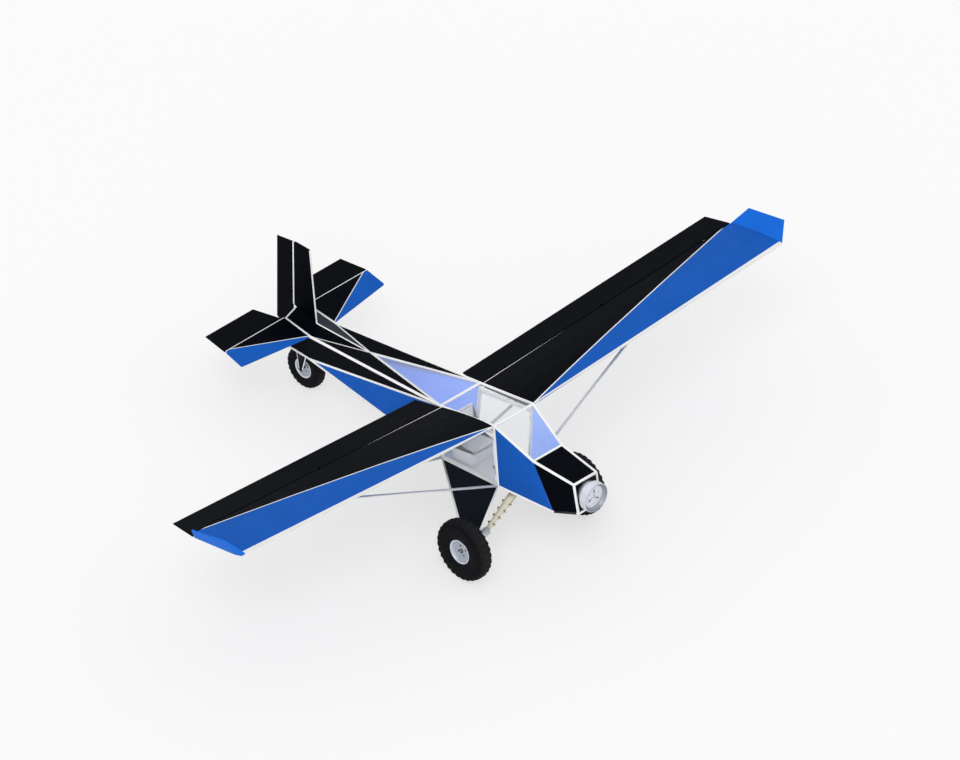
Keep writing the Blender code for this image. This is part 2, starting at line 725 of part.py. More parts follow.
def gear_spans(side):
    """The front and the rear tube of a gear leg, from the fuselage to the carrier over the axle."""
    front = Vector((GEAR_CARRIER_XS[1], side * GEAR_CARRIER_Y, GEAR_CARRIER_Z))
    rear = Vector((GEAR_CARRIER_XS[0], side * GEAR_CARRIER_Y, GEAR_CARRIER_Z))
    return (mirrored(DOOR_FOOT, side), front), (mirrored(CABIN_HEEL, side), rear)


for side, word in ((1, "left"), (-1, "right")):
    root_y = ROOF_FRONT[1] + FRAME_TUBE_R + 2 * SEAT_GAP
    rings = [wing_ring(root_y, side, root=True), wing_ring(WING_TIP_Y, side), tip_ring(side)]
    wing = piece(f"wing_{word}", loft_mesh(f"wing_{word}", rings), BLUE, aeroplane)
    hinge_root = mirrored(wing_point(WING_LE_TO_HINGE, hinge_depth, FLAPERON_HINGE_YS[0]), side)
    pivot = empty(f"flaperon_{word}_pivot", hinge_root, aeroplane)
    inner = ROOF_REAR[1] + FRAME_TUBE_R + RUN_GAP
    outer = WING_TIP_Y
    rings = [
        flaperon_ring(inner, inner + FLAPERON_END_CUT, side),
        flaperon_ring(outer, outer - FLAPERON_END_CUT, side),
    ]
    flaperon = piece(f"flaperon_{word}", loft_mesh(f"flaperon_{word}", rings), BLACK, pivot)
    hinges = []
    for y in FLAPERON_HINGE_YS:
        centre = mirrored(wing_point(WING_LE_TO_HINGE, hinge_depth, y), side)
        hinges.append(surface_hinge(centre, mirrored(span_way, side), -chord_way, FLAPERON_NOSE_R))
    hinged(flaperon, wing, hinges)
    strut = piece(
        f"lift_strut_front_{word}",
        strut_mesh("strut", DOOR_FOOT, FRONT_STRUT_ALONG, side),
        STRUT_GREY,
        aeroplane,
    )
    front_gear, rear_gear = gear_spans(side)
    ends = [mirrored(p, side) for p in (CABIN_HEEL, CHIN, ROOF_FRONT)]
    seats = frame_cutter(mirrored(DOOR_FOOT, side), ends)
    seats += frame_cutter(front_gear[0], front_gear[1:], GEAR_TUBE_R)
    shape_with(strut, "DIFFERENCE", seats)
    strut = piece(
        f"lift_strut_rear_{word}",
        strut_mesh("strut", CABIN_HEEL, REAR_STRUT_ALONG, side),
        STRUT_GREY,
        aeroplane,
    )
    ends = [mirrored(p, side) for p in (DOOR_FOOT, KEEL_REAR, ROOF_REAR)]
    seats = frame_cutter(mirrored(CABIN_HEEL, side), ends)
    seats += frame_cutter(rear_gear[0], rear_gear[1:], GEAR_TUBE_R)
    shape_with(strut, "DIFFERENCE", seats)

# Tail surfaces


def thin_ring(front, rear, half_t, across_way):
    """A section with a rounded front edge and a square rear edge."""
    along = (rear - front).normalized()
    points = [front]
    for back, share in THIN_NOSE:
        points.append(front + along * half_t * back + across_way * half_t * share)
    points += [rear + across_way * half_t, rear - across_way * half_t]
    for back, share in reversed(THIN_NOSE):
        points.append(front + along * half_t * back - across_way * half_t * share)
    return points


def control_ring(axis_point, tail_point, nose_r, across_way):
    """A round nose about the hinge that tapers to a thin trailing edge."""
    back = (tail_point - axis_point).normalized()
    points = []
    for i in range(7):
        angle = math.pi * (0.5 + i / 6)
        points.append(axis_point + back * nose_r * math.cos(angle) + across_way * nose_r * math.sin(angle))
    points += [tail_point - across_way * TRAILING_T / 2, tail_point + across_way * TRAILING_T / 2]
    return points


def on_axis(z):
    """The point of the rudder's hinge line at a height."""
    share = (z - RUDDER_AXIS_FOOT[2]) / (RUDDER_AXIS_TOP[2] - RUDDER_AXIS_FOOT[2])
    return between(RUDDER_AXIS_FOOT, RUDDER_AXIS_TOP, share)


sideways = Vector((0, 1, 0))
upward = Vector((0, 0, 1))
half_tail = TAIL_SURFACE_T / 2
fin_clear = TAIL_NOSE_R + RUN_GAP
ridge_slope = math.atan2(FIN_HEEL[2] - FIN_FOOT[2], FIN_FOOT[0] - FIN_HEEL[0])
ridge_flat = TAIL_TUBE_R * math.cos(math.pi / TUBE_SIDES)
lift = Vector((0, 0, (ridge_flat + 2 * SEAT_GAP) / math.cos(ridge_slope)))
fin_rear_x = on_axis(FIN_HEEL[2]).x + fin_clear
ridge_share = (fin_rear_x - FIN_FOOT[0]) / (FIN_HEEL[0] - FIN_FOOT[0])
fin_rear_foot = Vector(FIN_FOOT).lerp(Vector(FIN_HEEL), ridge_share) + lift
fin_rear_top = on_axis(FIN_TOP_FRONT[2]) + Vector((fin_clear, 0, 0))
fin_foot = Vector(FIN_FOOT) + lift
fin = piece(
    "fin",
    loft_mesh(
        "fin",
        [
            thin_ring(fin_foot, fin_rear_foot, half_tail, sideways),
            thin_ring(Vector(FIN_TOP_FRONT), fin_rear_top, half_tail, sideways),
        ],
    ),
    BLACK,
    aeroplane,
)
rudder_pivot = empty("rudder_pivot", on_axis(0), aeroplane)
te_foot, te_top = Vector((RUDDER_TE_X, 0, RUDDER_TE_FOOT_Z)), Vector((RUDDER_TE_X, 0, RUDDER_TE_TOP_Z))
rudder_rings = [
    control_ring(Vector(RUDDER_AXIS_FOOT), te_foot, TAIL_NOSE_R, sideways),
    control_ring(Vector(RUDDER_AXIS_TOP), te_top, TAIL_NOSE_R, sideways),
]
rudder = piece("rudder", loft_mesh("rudder", rudder_rings), BLACK, rudder_pivot)
rudder_axis = Vector(RUDDER_AXIS_TOP) - Vector(RUDDER_AXIS_FOOT)
ahead = Vector((1, 0, 0))
rudder_hinges = [surface_hinge(on_axis(z), rudder_axis, ahead, TAIL_NOSE_R) for z in RUDDER_HINGE_ZS]
hinged(rudder, fin, rudder_hinges[1:])
low_hinge = rudder_hinges[0]
shape_with(rudder, "DIFFERENCE", [low_hinge[0]], "MANIFOLD")
shape_with(rudder, "UNION", [low_hinge[1]], "MANIFOLD")
low_arm = box_mesh(
    "lug arm",
    (on_axis(RUDDER_HINGE_ZS[0]) + Vector((TAIL_X, 0, RUDDER_HINGE_ZS[0]))) / 2,
    ((TAIL_X - RUDDER_AXIS_FOOT[0]) / 2, HINGE_LUG_R * HINGE_ARM_SHARE, HINGE_LUG_T / 2),
    (ahead, sideways, upward),
)
shape_with(frame, "UNION", [low_hinge[2][0], low_arm], "MANIFOLD")
half_head = (Vector(steer_high) - Vector(steer_low)) / 2
steer_bore = bore_mesh(between(steer_low, steer_high, 0.5), half_head, FORK_SPINDLE_R, ROUND_SIDES)
shape_with(frame, "DIFFERENCE", [low_hinge[3], steer_bore], "MANIFOLD")

elevator_pivot = empty("elevator_pivot", (ELEVATOR_AXIS_X, 0, ELEVATOR_AXIS_Z), aeroplane)
elevator = piece(
    "elevator",
    tube_mesh(
        "torque tube",
        (ELEVATOR_AXIS_X, -ELEVATOR_ROOT_Y, ELEVATOR_AXIS_Z),
        (ELEVATOR_AXIS_X, ELEVATOR_ROOT_Y, ELEVATOR_AXIS_Z),
        TORQUE_TUBE_R,
        overrun=TORQUE_TUBE_HOLD,
    ),
    BLACK,
    elevator_pivot,
)
halves = []
for side in (1, -1):
    tail_x = ELEVATOR_AXIS_X - ELEVATOR_CHORD
    halves.append(
        loft_mesh(
            "half",
            [
                control_ring(
                    Vector((ELEVATOR_AXIS_X, side * ELEVATOR_ROOT_Y, ELEVATOR_AXIS_Z)),
                    Vector((tail_x, side * ELEVATOR_ROOT_TE_Y, ELEVATOR_AXIS_Z)),
                    TAIL_NOSE_R,
                    upward,
                ),
                control_ring(
                    Vector((ELEVATOR_AXIS_X, side * STAB_TIP_Y, ELEVATOR_AXIS_Z)),
                    Vector((tail_x, side * ELEVATOR_TIP_TE_Y, ELEVATOR_AXIS_Z)),
                    TAIL_NOSE_R,
                    upward,
                ),
            ],
        )
    )
shape_with(elevator, "UNION", halves)
outer_hinges = []
for side, word in ((1, "left"), (-1, "right")):
    rail_front = mirrored(STAB_FRONT, side)
    rail_rear = mirrored(STAB_REAR, side)
    outward = Vector((0, side * (FRAME_TUBE_R + SEAT_GAP + RAIL_EASE), 0))
    rear_x = ELEVATOR_AXIS_X + fin_clear
    root_front = rail_front + outward + Vector((0, side * STAB_ROOT_EASE, 0))
    root_rear = Vector((rear_x, rail_rear.y, ELEVATOR_AXIS_Z)) + outward
    tip_front = mirrored(STAB_TIP_FRONT, side)
    tip_rear = Vector((rear_x, side * STAB_TIP_Y, ELEVATOR_AXIS_Z))
    stab = piece(
        f"stabilizer_{word}",
        loft_mesh(
            "stabilizer",
            [
                thin_ring(root_front, root_rear, half_tail, upward),
                thin_ring(tip_front, tip_rear, half_tail, upward),
            ],
        ),
        BLACK,
        aeroplane,
    )
    hinge = surface_hinge(
        (ELEVATOR_AXIS_X, side * ELEVATOR_HINGE_Y, ELEVATOR_AXIS_Z), sideways, ahead, TAIL_NOSE_R
    )
    outer_hinges.append(hinge)
    root_centre = Vector((ELEVATOR_AXIS_X, side * BEARING_Y, ELEVATOR_AXIS_Z))
    half_lug = Vector((0, HINGE_LUG_T / 2, 0))
    bearing_r = TORQUE_TUBE_R + BEARING_WALL
    bearing = tube_mesh("bearing", root_centre - half_lug, root_centre + half_lug, bearing_r)
    half_reach = (fin_clear + HINGE_LUG_ROOT) / 2
    arm = box_mesh(
        "bearing arm",
        root_centre + ahead * half_reach,
        (half_reach, HINGE_LUG_T / 2, TORQUE_TUBE_R * HINGE_ARM_SHARE),
        (ahead, sideways, upward),
    )
    shape_with(stab, "UNION", [*hinge[2], bearing, arm])
    shape_with(stab, "DIFFERENCE", [hinge[3], bore_mesh(root_centre, half_lug, TORQUE_TUBE_R)])
shape_with(elevator, "DIFFERENCE", [h[0] for h in outer_hinges])
shape_with(elevator, "UNION", [h[1] for h in outer_hinges])

# Doors

door_lugs = []
door_bores = []
for side, word in ((1, "left"), (-1, "right")):
    inset = FRAME_TUBE_R + RUN_GAP + DOOR_TUBE_R
    corners = [mirrored(p, side) for p in (header_front, header_rear, CABIN_HEEL, DOOR_FOOT)]
    frame_corners = []
    for i, corner in enumerate(corners):
        onward = (corners[(i + 1) % 4] - corner).normalized()
        back = (corners[i - 1] - corner).normalized()
        sine = onward.cross(back).length
        frame_corners.append(corner + (onward + back) * (inset / sine))
    top_front, top_rear, low_rear, low_front = frame_corners
    pivot = empty(f"door_{word}_pivot", low_front, aeroplane)
    spans = list(zip(frame_corners, frame_corners[1:] + frame_corners[:1]))
    door = piece(
        f"door_frame_{word}",
        tube_mesh("tube", *spans[0], DOOR_TUBE_R, DOOR_TUBE_SIDES, DOOR_TUBE_R * DOOR_TUBE_OVERRUN),
        WHITE,
        pivot,
    )
    hinge_way = (top_front - low_front).normalized()
    rearward = (low_rear - low_front).normalized()
    normal = hinge_way.cross(rearward).normalized()
    axes = (hinge_way, rearward, normal)
    half_pin = hinge_way * DOOR_PIN_L / 2
    half_lug = hinge_way * DOOR_LUG_T / 2
    reach = inset / 2
    pins, cuts, relief = [], [], []
    for share in DOOR_HINGE_SHARES:
        centre = between(low_front, top_front, share)
        pins.append(tube_mesh("hinge pin", centre - half_pin, centre + half_pin, HINGE_PIN_R))
        cuts.append(box_mesh("slot", centre, (DOOR_SLOT_W / 2, DOOR_SLOT_HALF, DOOR_SLOT_HALF), axes))
        relief.append(box_mesh("relief", centre, (DOOR_SLOT_W / 2, DOOR_GLASS_NOTCH, DOOR_SLOT_HALF), axes))
        door_lugs.append(tube_mesh("lug", centre - half_lug, centre + half_lug, DOOR_TUBE_R))
        arm_half = (DOOR_LUG_T / 2, reach, DOOR_TUBE_R * HINGE_ARM_SHARE)
        door_lugs.append(box_mesh("lug arm", centre - rearward * reach, arm_half, axes))
        door_bores.append(bore_mesh(centre, half_lug, HINGE_PIN_R))
    shape_with(door, "UNION", tube_list(spans[1:], DOOR_TUBE_R, DOOR_TUBE_SIDES, DOOR_TUBE_OVERRUN))
    shape_with(door, "DIFFERENCE", cuts)
    shape_with(door, "UNION", pins)
    glass = panel_mesh("glass", frame_corners, GLAZING_T, [DOOR_TUBE_R + SEAT_GAP] * 4)
    pane = piece(f"door_glass_{word}", glass, CLEAR, pivot)
    shape_with(pane, "DIFFERENCE", relief)
shape_with(frame, "UNION", door_lugs, "MANIFOLD")
shape_with(frame, "DIFFERENCE", door_bores, "MANIFOLD")

# Wheels


def tyre_profile(outer_r, half_w, rim_r):
    """A balloon tyre: straight at the bead, round at the side and shoulder, nearly flat at the tread."""
    bead_r = rim_r - TYRE_BEAD
    half = [(bead_r + (outer_r - bead_r) * up, half_w * out) for up, out in TYRE_SECTION]
    return half + [(radius, -place) for radius, place in reversed(half)]


def hub_profile(outer_r, half_w, rim_r, bore_r):
    """A rim with a lip against each side of the tyre, a dished disc and a boss on the spindle."""
    bead_r = rim_r - TYRE_BEAD
    barrel = bead_r - SEAT_GAP
    (_, bead_out), (side_up, side_out) = TYRE_SECTION[:2]
    bead = half_w * bead_out + BEAD_GAP
    lip = bead + RIM_LIP * half_w * (side_out - bead_out) / ((outer_r - bead_r) * side_up)
    edge = lip + RIM_LIP_T
    inner = barrel - HUB_WALL
    boss_r = bore_r + HUB_BOSS_WALL
    boss = half_w * HUB_BOSS_SHARE
    disc = HUB_DISC_T / 2
    return [
        (bore_r, -boss),
        (boss_r, -boss),
        (boss_r, -disc),
        (inner, -disc),
        (inner, -edge),
        (barrel + RIM_LIP, -edge),
        (barrel + RIM_LIP, -lip),
        (barrel, -bead),
        (barrel, bead),
        (barrel + RIM_LIP, lip),
        (barrel + RIM_LIP, edge),
        (inner, edge),
        (inner - disc, disc),
        (boss_r, disc),
        (boss_r, boss),
        (bore_r, boss),
    ]


def wheel(word, centre, pivot, outer_r, half_w, rim_r, spindle_r, outward):
    """A tyre on its hub. The dish of the hub faces outward."""
    turn = math.pi / 2 + outward * pitch + math.pi / WHEEL_SEGMENTS
    axis = (0, outward, 0)
    tyre = revolved_mesh("tyre", tyre_profile(outer_r, half_w, rim_r), centre, axis, WHEEL_SEGMENTS, turn)
    piece(f"tyre_{word}", tyre, RUBBER, pivot, smooth=True)
    bore_r = (spindle_r + PIN_GAP) / math.cos(math.pi / WHEEL_SEGMENTS)
    profile = hub_profile(outer_r, half_w, rim_r, bore_r)
    hub = revolved_mesh("hub", profile, centre, axis, WHEEL_SEGMENTS, turn)
    piece(f"hub_{word}", hub, SILVER, pivot, smooth=True)


def mounting_face(point, normal, radius, sides, axis):
    """A ring round an axis, slid along it onto a plane."""
    made = []
    for spot in ring(point, axis, radius, sides):
        run = (Vector(point) - spot).dot(normal) / Vector(axis).dot(normal)
        made.append(spot + Vector(axis) * run)
    return made


for side, word in ((1, "left"), (-1, "right")):
    centre = mirrored(MAIN_WHEEL, side)
    pivot = empty(f"wheel_{word}_pivot", centre, aeroplane)
    wheel(f"main_{word}", centre, pivot, MAIN_TYRE_R, MAIN_TYRE_HALF_W, MAIN_RIM_R, SPINDLE_R, side)
    inner = mirrored(AXLE_INNER, side)
    outer = Vector((MAIN_WHEEL[0], side * AXLE_OUTER_Y, MAIN_WHEEL[2]))
    leg = piece(f"gear_leg_{word}", tube_mesh("axle", inner, outer, AXLE_R, ROUND_SIDES), WHITE, aeroplane)
    spindle = tube_mesh(
        "spindle",
        (centre.x, side * (AXLE_OUTER_Y - SPINDLE_ROOT), centre.z),
        (centre.x, side * (MAIN_WHEEL[1] + SPINDLE_END), centre.z),
        SPINDLE_R,
    )
    (door_foot, front), (heel, rear) = gear_spans(side)
    leg_spans = [(door_foot, front), (heel, rear), (rear, front)]
    shape_with(leg, "UNION", [spindle, *tube_list(leg_spans, GEAR_TUBE_R)])
    front_ends = [mirrored(p, side) for p in (CABIN_HEEL, CHIN, ROOF_FRONT)]
    rear_ends = [mirrored(p, side) for p in (DOOR_FOOT, KEEL_REAR, ROOF_REAR)]
    seats = frame_cutter(door_foot, front_ends) + frame_cutter(heel, rear_ends)
    shape_with(leg, "DIFFERENCE", seats)
    fit = GEAR_TUBE_R + SEAT_GAP
    cover = panel_mesh(
        "cover", [door_foot, heel, rear, front], PANEL_T, [FRAME_TUBE_R + SEAT_GAP, fit, fit, fit]
    )
    piece(f"gear_cover_{word}", cover, BLACK, aeroplane)

# Shock struts

mount_foot_z = SHOCK_TOP[2] - SHOCK_MOUNT_DROP
belly_here = between(DOOR_FOOT, CHIN, (SHOCK_TOP[0] - DOOR_FOOT[0]) / (CHIN[0] - DOOR_FOOT[0])).z
belly_slope = (CHIN[2] - DOOR_FOOT[2]) / (CHIN[0] - DOOR_FOOT[0])
mount_top = belly_here - PANEL_T / 2 - SEAT_GAP - SHOCK_MOUNT[0] * belly_slope


def mount_box(grown):
    """The centre and the half sizes of the block under the belly that carries both shock struts."""
    centre = (SHOCK_TOP[0], 0, (mount_top + mount_foot_z) / 2)
    return centre, (SHOCK_MOUNT[0] + grown, SHOCK_MOUNT[1] + grown, (mount_top - mount_foot_z) / 2 + grown)


for side, word in ((1, "left"), (-1, "right")):
    top = mirrored(SHOCK_TOP, side)
    share = (SHOCK_FOOT_Y - AXLE_INNER[1]) / (AXLE_OUTER_Y - AXLE_INNER[1])
    axle_there = between(AXLE_INNER, (MAIN_WHEEL[0], AXLE_OUTER_Y, MAIN_WHEEL[2]), share)
    foot = mirrored(axle_there, side)
    way = (foot - top).normalized()
    length = (foot - top).length
    rings = [ring(top, way, SHOCK_TOP_R, SHOCK_SIDES)]
    ears = []
    at = 0.0
    for share_to, radius in SHOCK_STEPS:
        if at:
            rings.append(ring(top + way * length * (at + STEP_SLOPE), way, radius, SHOCK_SIDES))
        at = share_to
        rings.append(ring(top + way * length * at, way, radius, SHOCK_SIDES))
        if SHOCK_STEPS[0][0] < at < 1.0:
            ear_out, ear_half_t, ear_half_l = SHOCK_EAR
            centre = top + way * (length * at - 2 * ear_half_l)
            ear_sizes = (radius + ear_out, ear_half_t, ear_half_l)
            ears.append(box_mesh("ear", centre, ear_sizes, (ahead, way.cross(ahead), way)))
    shock = piece(f"shock_strut_{word}", loft_mesh("shock", rings), TAN, aeroplane)
    shape_with(shock, "UNION", ears, "MANIFOLD")
    outer = Vector((MAIN_WHEEL[0], side * AXLE_OUTER_Y, MAIN_WHEEL[2]))
    axle_fit = AXLE_R + SEAT_GAP
    seating = tube_mesh("seating", mirrored(AXLE_INNER, side), outer, axle_fit, ROUND_SIDES, CUT_OVER)
    block = box_mesh("seating", *mount_box(SEAT_GAP), (ahead, sideways, upward))
    shape_with(shock, "DIFFERENCE", [seating, block])

mount = box_mesh("shock_mount", *mount_box(0.0), (ahead, sideways, upward))
mount = piece("shock_mount", mount, SILVER, aeroplane)

# Tail wheel
steer_pivot = empty("tail_steer_pivot", (STEER_X, 0, FORK_CROWN_TOP), aeroplane)
tail_pivot = empty("tail_wheel_pivot", TAIL_WHEEL, steer_pivot)
wheel("tail", Vector(TAIL_WHEEL), tail_pivot, TAIL_TYRE_R, TAIL_TYRE_HALF_W, TAIL_RIM_R, TAIL_AXLE_R, -1)
crown_low = FORK_CROWN_TOP - FORK_CROWN_T
crown_x = (STEER_X + TAIL_WHEEL[0]) / 2 - FORK_TRAIL
arm_in = TAIL_TYRE_HALF_W + FORK_SIDE_GAP
arm_out = arm_in + FORK_ARM_T
crown = box_mesh(
    "crown",
    (crown_x, 0, FORK_CROWN_TOP - FORK_CROWN_T / 2),
    (FORK_CROWN_L / 2, arm_out, FORK_CROWN_T / 2),
    (ahead, sideways, upward),
)
fork = piece("tail_fork", crown, BLACK, steer_pivot)
spindle_foot = (STEER_X, 0, FORK_CROWN_TOP - FORK_CROWN_T / 2)
axle_half = Vector((0, arm_out + TAIL_AXLE_END, 0))
fork_adds = [
    tube_mesh("spindle", spindle_foot, (STEER_X, 0, STEER_HEAD_TOP + CUT_OVER), FORK_SPINDLE_R, ROUND_SIDES),
    tube_mesh("axle", Vector(TAIL_WHEEL) - axle_half, Vector(TAIL_WHEEL) + axle_half, TAIL_AXLE_R),
]
arm_top = FORK_CROWN_TOP - FORK_CROWN_T / 2
arm_outline = [(crown_x + FORK_CROWN_L / 2, arm_top), (crown_x - FORK_CROWN_L / 2, arm_top)]
for i in range(FORK_EYE_POINTS):
    angle = math.pi * (1 + i / (FORK_EYE_POINTS - 1))
    eye_x = TAIL_WHEEL[0] + FORK_ARM_EYE_R * math.cos(angle)
    arm_outline.append((eye_x, TAIL_WHEEL[2] + FORK_ARM_EYE_R * math.sin(angle)))
for side in (1, -1):
    rings = [[Vector((x, side * y, z)) for x, z in arm_outline] for y in (arm_in, arm_out)]
    fork_adds.append(loft_mesh("arm", rings))
shape_with(fork, "UNION", fork_adds)

# Motor

face_normal = Vector((NOSE_TOP[2] - NOSE_BOTTOM[2], 0, -(NOSE_TOP[0] - NOSE_BOTTOM[0]))).normalized()
face_share = (NOSE_TOP[2] - MOTOR_Z) / (NOSE_TOP[2] - NOSE_BOTTOM[2])
face_point = Vector((between(NOSE_TOP, NOSE_BOTTOM, face_share).x, 0, MOTOR_Z))
face_seat = face_point + face_normal * (PANEL_T / 2 + SEAT_GAP)
stator_rings = [
    mounting_face(face_seat, face_normal, STATOR_R, STATOR_SIDES, ahead),
    ring((MOTOR_BACK_X - RUN_GAP, 0, MOTOR_Z), ahead, STATOR_R, STATOR_SIDES),
]
motor_mount = piece("motor_mount", loft_mesh("stator", stator_rings), SILVER, aeroplane)
dish_x = MOTOR_FRONT_X - MOTOR_DISH
shaft_ends = (MOTOR_BACK_X - CUT_OVER, 0, MOTOR_Z), (dish_x + MOTOR_SHAFT_END, 0, MOTOR_Z)
shape_with(motor_mount, "UNION", [tube_mesh("shaft", *shaft_ends, MOTOR_SHAFT_R, ROUND_SIDES)])
motor_pivot = empty("motor_pivot", (MOTOR_BACK_X, 0, MOTOR_Z), aeroplane)
depth = MOTOR_FRONT_X - MOTOR_BACK_X
bore_r = (MOTOR_SHAFT_R + PIN_GAP) / math.cos(math.pi / MOTOR_SEGMENTS)
drum_profile = [
    (bore_r, 0.0),
    (MOTOR_R - MOTOR_EDGE, 0.0),
    (MOTOR_R, MOTOR_EDGE),
    (MOTOR_R, depth - MOTOR_EDGE),
    (MOTOR_R - MOTOR_EDGE, depth),
    (MOTOR_R * MOTOR_LIP_SHARE, depth),
    (MOTOR_R * MOTOR_FLOOR_SHARE, depth - MOTOR_DISH),
    (bore_r, depth - MOTOR_DISH),
]
drum = revolved_mesh("drum", drum_profile, (MOTOR_BACK_X, 0, MOTOR_Z), ahead, MOTOR_SEGMENTS)
piece("motor_drum", drum, SILVER, motor_pivot, smooth=True)

# Cabin


def floor_at(x):
    """The height of the cabin floor at a place ahead of the wing's leading edge, or behind it."""
    start, end = (DOOR_FOOT, CABIN_HEEL) if x < DOOR_FOOT[0] else (DOOR_FOOT, CHIN)
    return between(start, end, (x - start[0]) / (end[0] - start[0])).z + PANEL_T / 2 + SEAT_GAP


shell_x = SEAT_BACK_X - SEAT_BACK_T
seat_front = floor_at(SEAT_FRONT_X) + SEAT_FRONT_H
seat_back = floor_at(SEAT_BACK_X) + SEAT_BACK_H
seat_outline = [
    (SEAT_FRONT_X - SEAT_FOOT_BACK, floor_at(SEAT_FRONT_X - SEAT_FOOT_BACK)),
    (shell_x, floor_at(shell_x)),
    (shell_x - SEAT_BACK_RAKE, seat_back + SEAT_BACK_RISE),
    (SEAT_BACK_X - SEAT_BACK_RAKE, seat_back + SEAT_BACK_RISE),
    (SEAT_BACK_X, seat_back),
    (SEAT_FRONT_X - SEAT_EDGE, seat_front),
    (SEAT_FRONT_X, seat_front - SEAT_LIP_DROP),
]
rings = [[Vector((x, y, z)) for x, z in seat_outline] for y in (SEAT_W / 2, -SEAT_W / 2)]
piece("seat", loft_mesh("seat", rings), SEAT_CLOTH, aeroplane)

stick_foot = Vector((STICK_X, 0, floor_at(STICK_X)))
boot = [Vector((spot.x, spot.y, floor_at(spot.x))) for spot in ring(stick_foot, upward, STICK_BOOT_R)]
boot_top = stick_foot + upward * STICK_BOOT_H
knee = stick_foot + Vector((STICK_KNEE[0], 0, STICK_KNEE[1]))
grip_foot = stick_foot + Vector((STICK_TOP[0], 0, STICK_TOP[1]))
grip_way = (grip_foot - knee).normalized()
grip_end = grip_foot + grip_way * GRIP_L
stick_rings = [
    boot,
    ring(boot_top, upward, STICK_R),
    ring(knee, upward, STICK_R),
    ring(grip_foot, grip_way, STICK_R),
    ring(grip_foot, grip_way, GRIP_R),
    ring(grip_end, grip_way, GRIP_R),
]
piece("control_stick", loft_mesh("stick", stick_rings), BLACK, aeroplane)

bar_x, bar_w, bar_h = PEDAL_BAR
floor_way = Vector((CHIN[0] - DOOR_FOOT[0], 0, CHIN[2] - DOOR_FOOT[2])).normalized()
floor_up = Vector((-floor_way.z, 0, floor_way.x))
bar_centre = Vector((bar_x, 0, floor_at(bar_x))) + floor_up * bar_h / 2
pedal_bar = box_mesh("bar", bar_centre, (bar_h / 2, bar_w / 2, bar_h / 2), (floor_way, sideways, floor_up))
pedals = piece("rudder_pedals", pedal_bar, SILVER, aeroplane)
pedal_up = Vector((math.sin(PEDAL_LEAN), 0, math.cos(PEDAL_LEAN)))
pedal_face = Vector((pedal_up.z, 0, -pedal_up.x))
pedal_half = (PEDAL_T / 2, PEDAL_W / 2, PEDAL_H / 2)
plates = []
for side in (1, -1):
    centre = bar_centre + sideways * side * PEDAL_Y + pedal_up * PEDAL_H / 2
    plates.append(box_mesh("pedal", centre, pedal_half, (pedal_face, sideways, pedal_up)))
shape_with(pedals, "UNION", plates)

dial_top = SCREEN_FOOT[2] - FRAME_TUBE_R * math.cos(math.pi / TUBE_SIDES) - SEAT_GAP
dial_centre = (SCREEN_FOOT[0], 0, dial_top - DIAL_PANEL_H / 2)
dial_half = (DIAL_PANEL_T / 2, DIAL_PANEL_W / 2, DIAL_PANEL_H / 2)
dial_panel = box_mesh("dial panel", dial_centre, dial_half, (ahead, sideways, upward))
piece("instrument_panel", dial_panel, BLACK, aeroplane)

# Stand on the ground, with the middle of the length over the origin
aeroplane.rotation_euler = (0, -pitch, 0)
bpy.context.view_layer.update()
ground = (aeroplane.matrix_world @ Vector(MAIN_WHEEL)).z - MAIN_TYRE_R * facet_share
nose_x = (aeroplane.matrix_world @ Vector((MOTOR_FRONT_X - MOTOR_EDGE, 0, MOTOR_Z - MOTOR_R))).x
tail_x = (aeroplane.matrix_world @ Vector((RUDDER_TE_X, 0, RUDDER_TE_TOP_Z))).x
aeroplane.location = (-(nose_x + tail_x) / 2, 0, -ground)
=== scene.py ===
# %% [markdown]
# # A bush plane in Blender
# A small high-wing aeroplane stands on its two big main tyres and a tail tyre. Its fuselage is a cage of
# welded tubes with flat painted panels between them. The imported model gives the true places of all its
# pieces; this script dresses them with finishes and fine surfaces worked out with numpy.

# %% Load the frame
import json
import math

import bmesh
import bpy
import numpy as np
from mathutils import Matrix, Vector


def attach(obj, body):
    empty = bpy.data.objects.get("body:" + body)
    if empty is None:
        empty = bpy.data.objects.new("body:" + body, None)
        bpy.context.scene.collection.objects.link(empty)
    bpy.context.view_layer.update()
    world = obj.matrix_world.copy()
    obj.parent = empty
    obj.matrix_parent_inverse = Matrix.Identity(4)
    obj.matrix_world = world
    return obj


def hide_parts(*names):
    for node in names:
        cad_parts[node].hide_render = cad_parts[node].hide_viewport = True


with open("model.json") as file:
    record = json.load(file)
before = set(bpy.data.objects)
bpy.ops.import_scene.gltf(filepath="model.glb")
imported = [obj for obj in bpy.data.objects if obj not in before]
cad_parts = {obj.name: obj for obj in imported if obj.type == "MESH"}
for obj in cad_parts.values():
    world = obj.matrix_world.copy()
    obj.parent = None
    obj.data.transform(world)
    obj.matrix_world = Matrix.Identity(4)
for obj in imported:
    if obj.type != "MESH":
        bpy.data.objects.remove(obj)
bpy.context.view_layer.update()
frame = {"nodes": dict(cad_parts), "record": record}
nodes = frame["nodes"]

# %% [markdown]
# The aeroplane was drawn level, with its origin between the leading edges of the two wing roots, and then
# stood on its tyres. The same turn and shift bring any point of the drawing to its parked place, so the
# sizes below can be the drawing's own.

# %% The parked place
PITCH = 0.138822
ROOT = np.array([1.343916, 0.0, 1.866570])
TURN = np.array([
    [math.cos(PITCH), 0.0, -math.sin(PITCH)],
    [0.0, 1.0, 0.0],
    [math.sin(PITCH), 0.0, math.cos(PITCH)],
])


def parked(points):
    """Drawing to parked place: turn each point about Y by the pitch, then add the root's place."""
    return np.asarray(points, float) @ TURN.T + ROOT


def parked_way(way):
    """A direction of the drawing, turned as the points are and made one long."""
    tilted = TURN @ np.asarray(way, float)
    return tilted / np.linalg.norm(tilted)


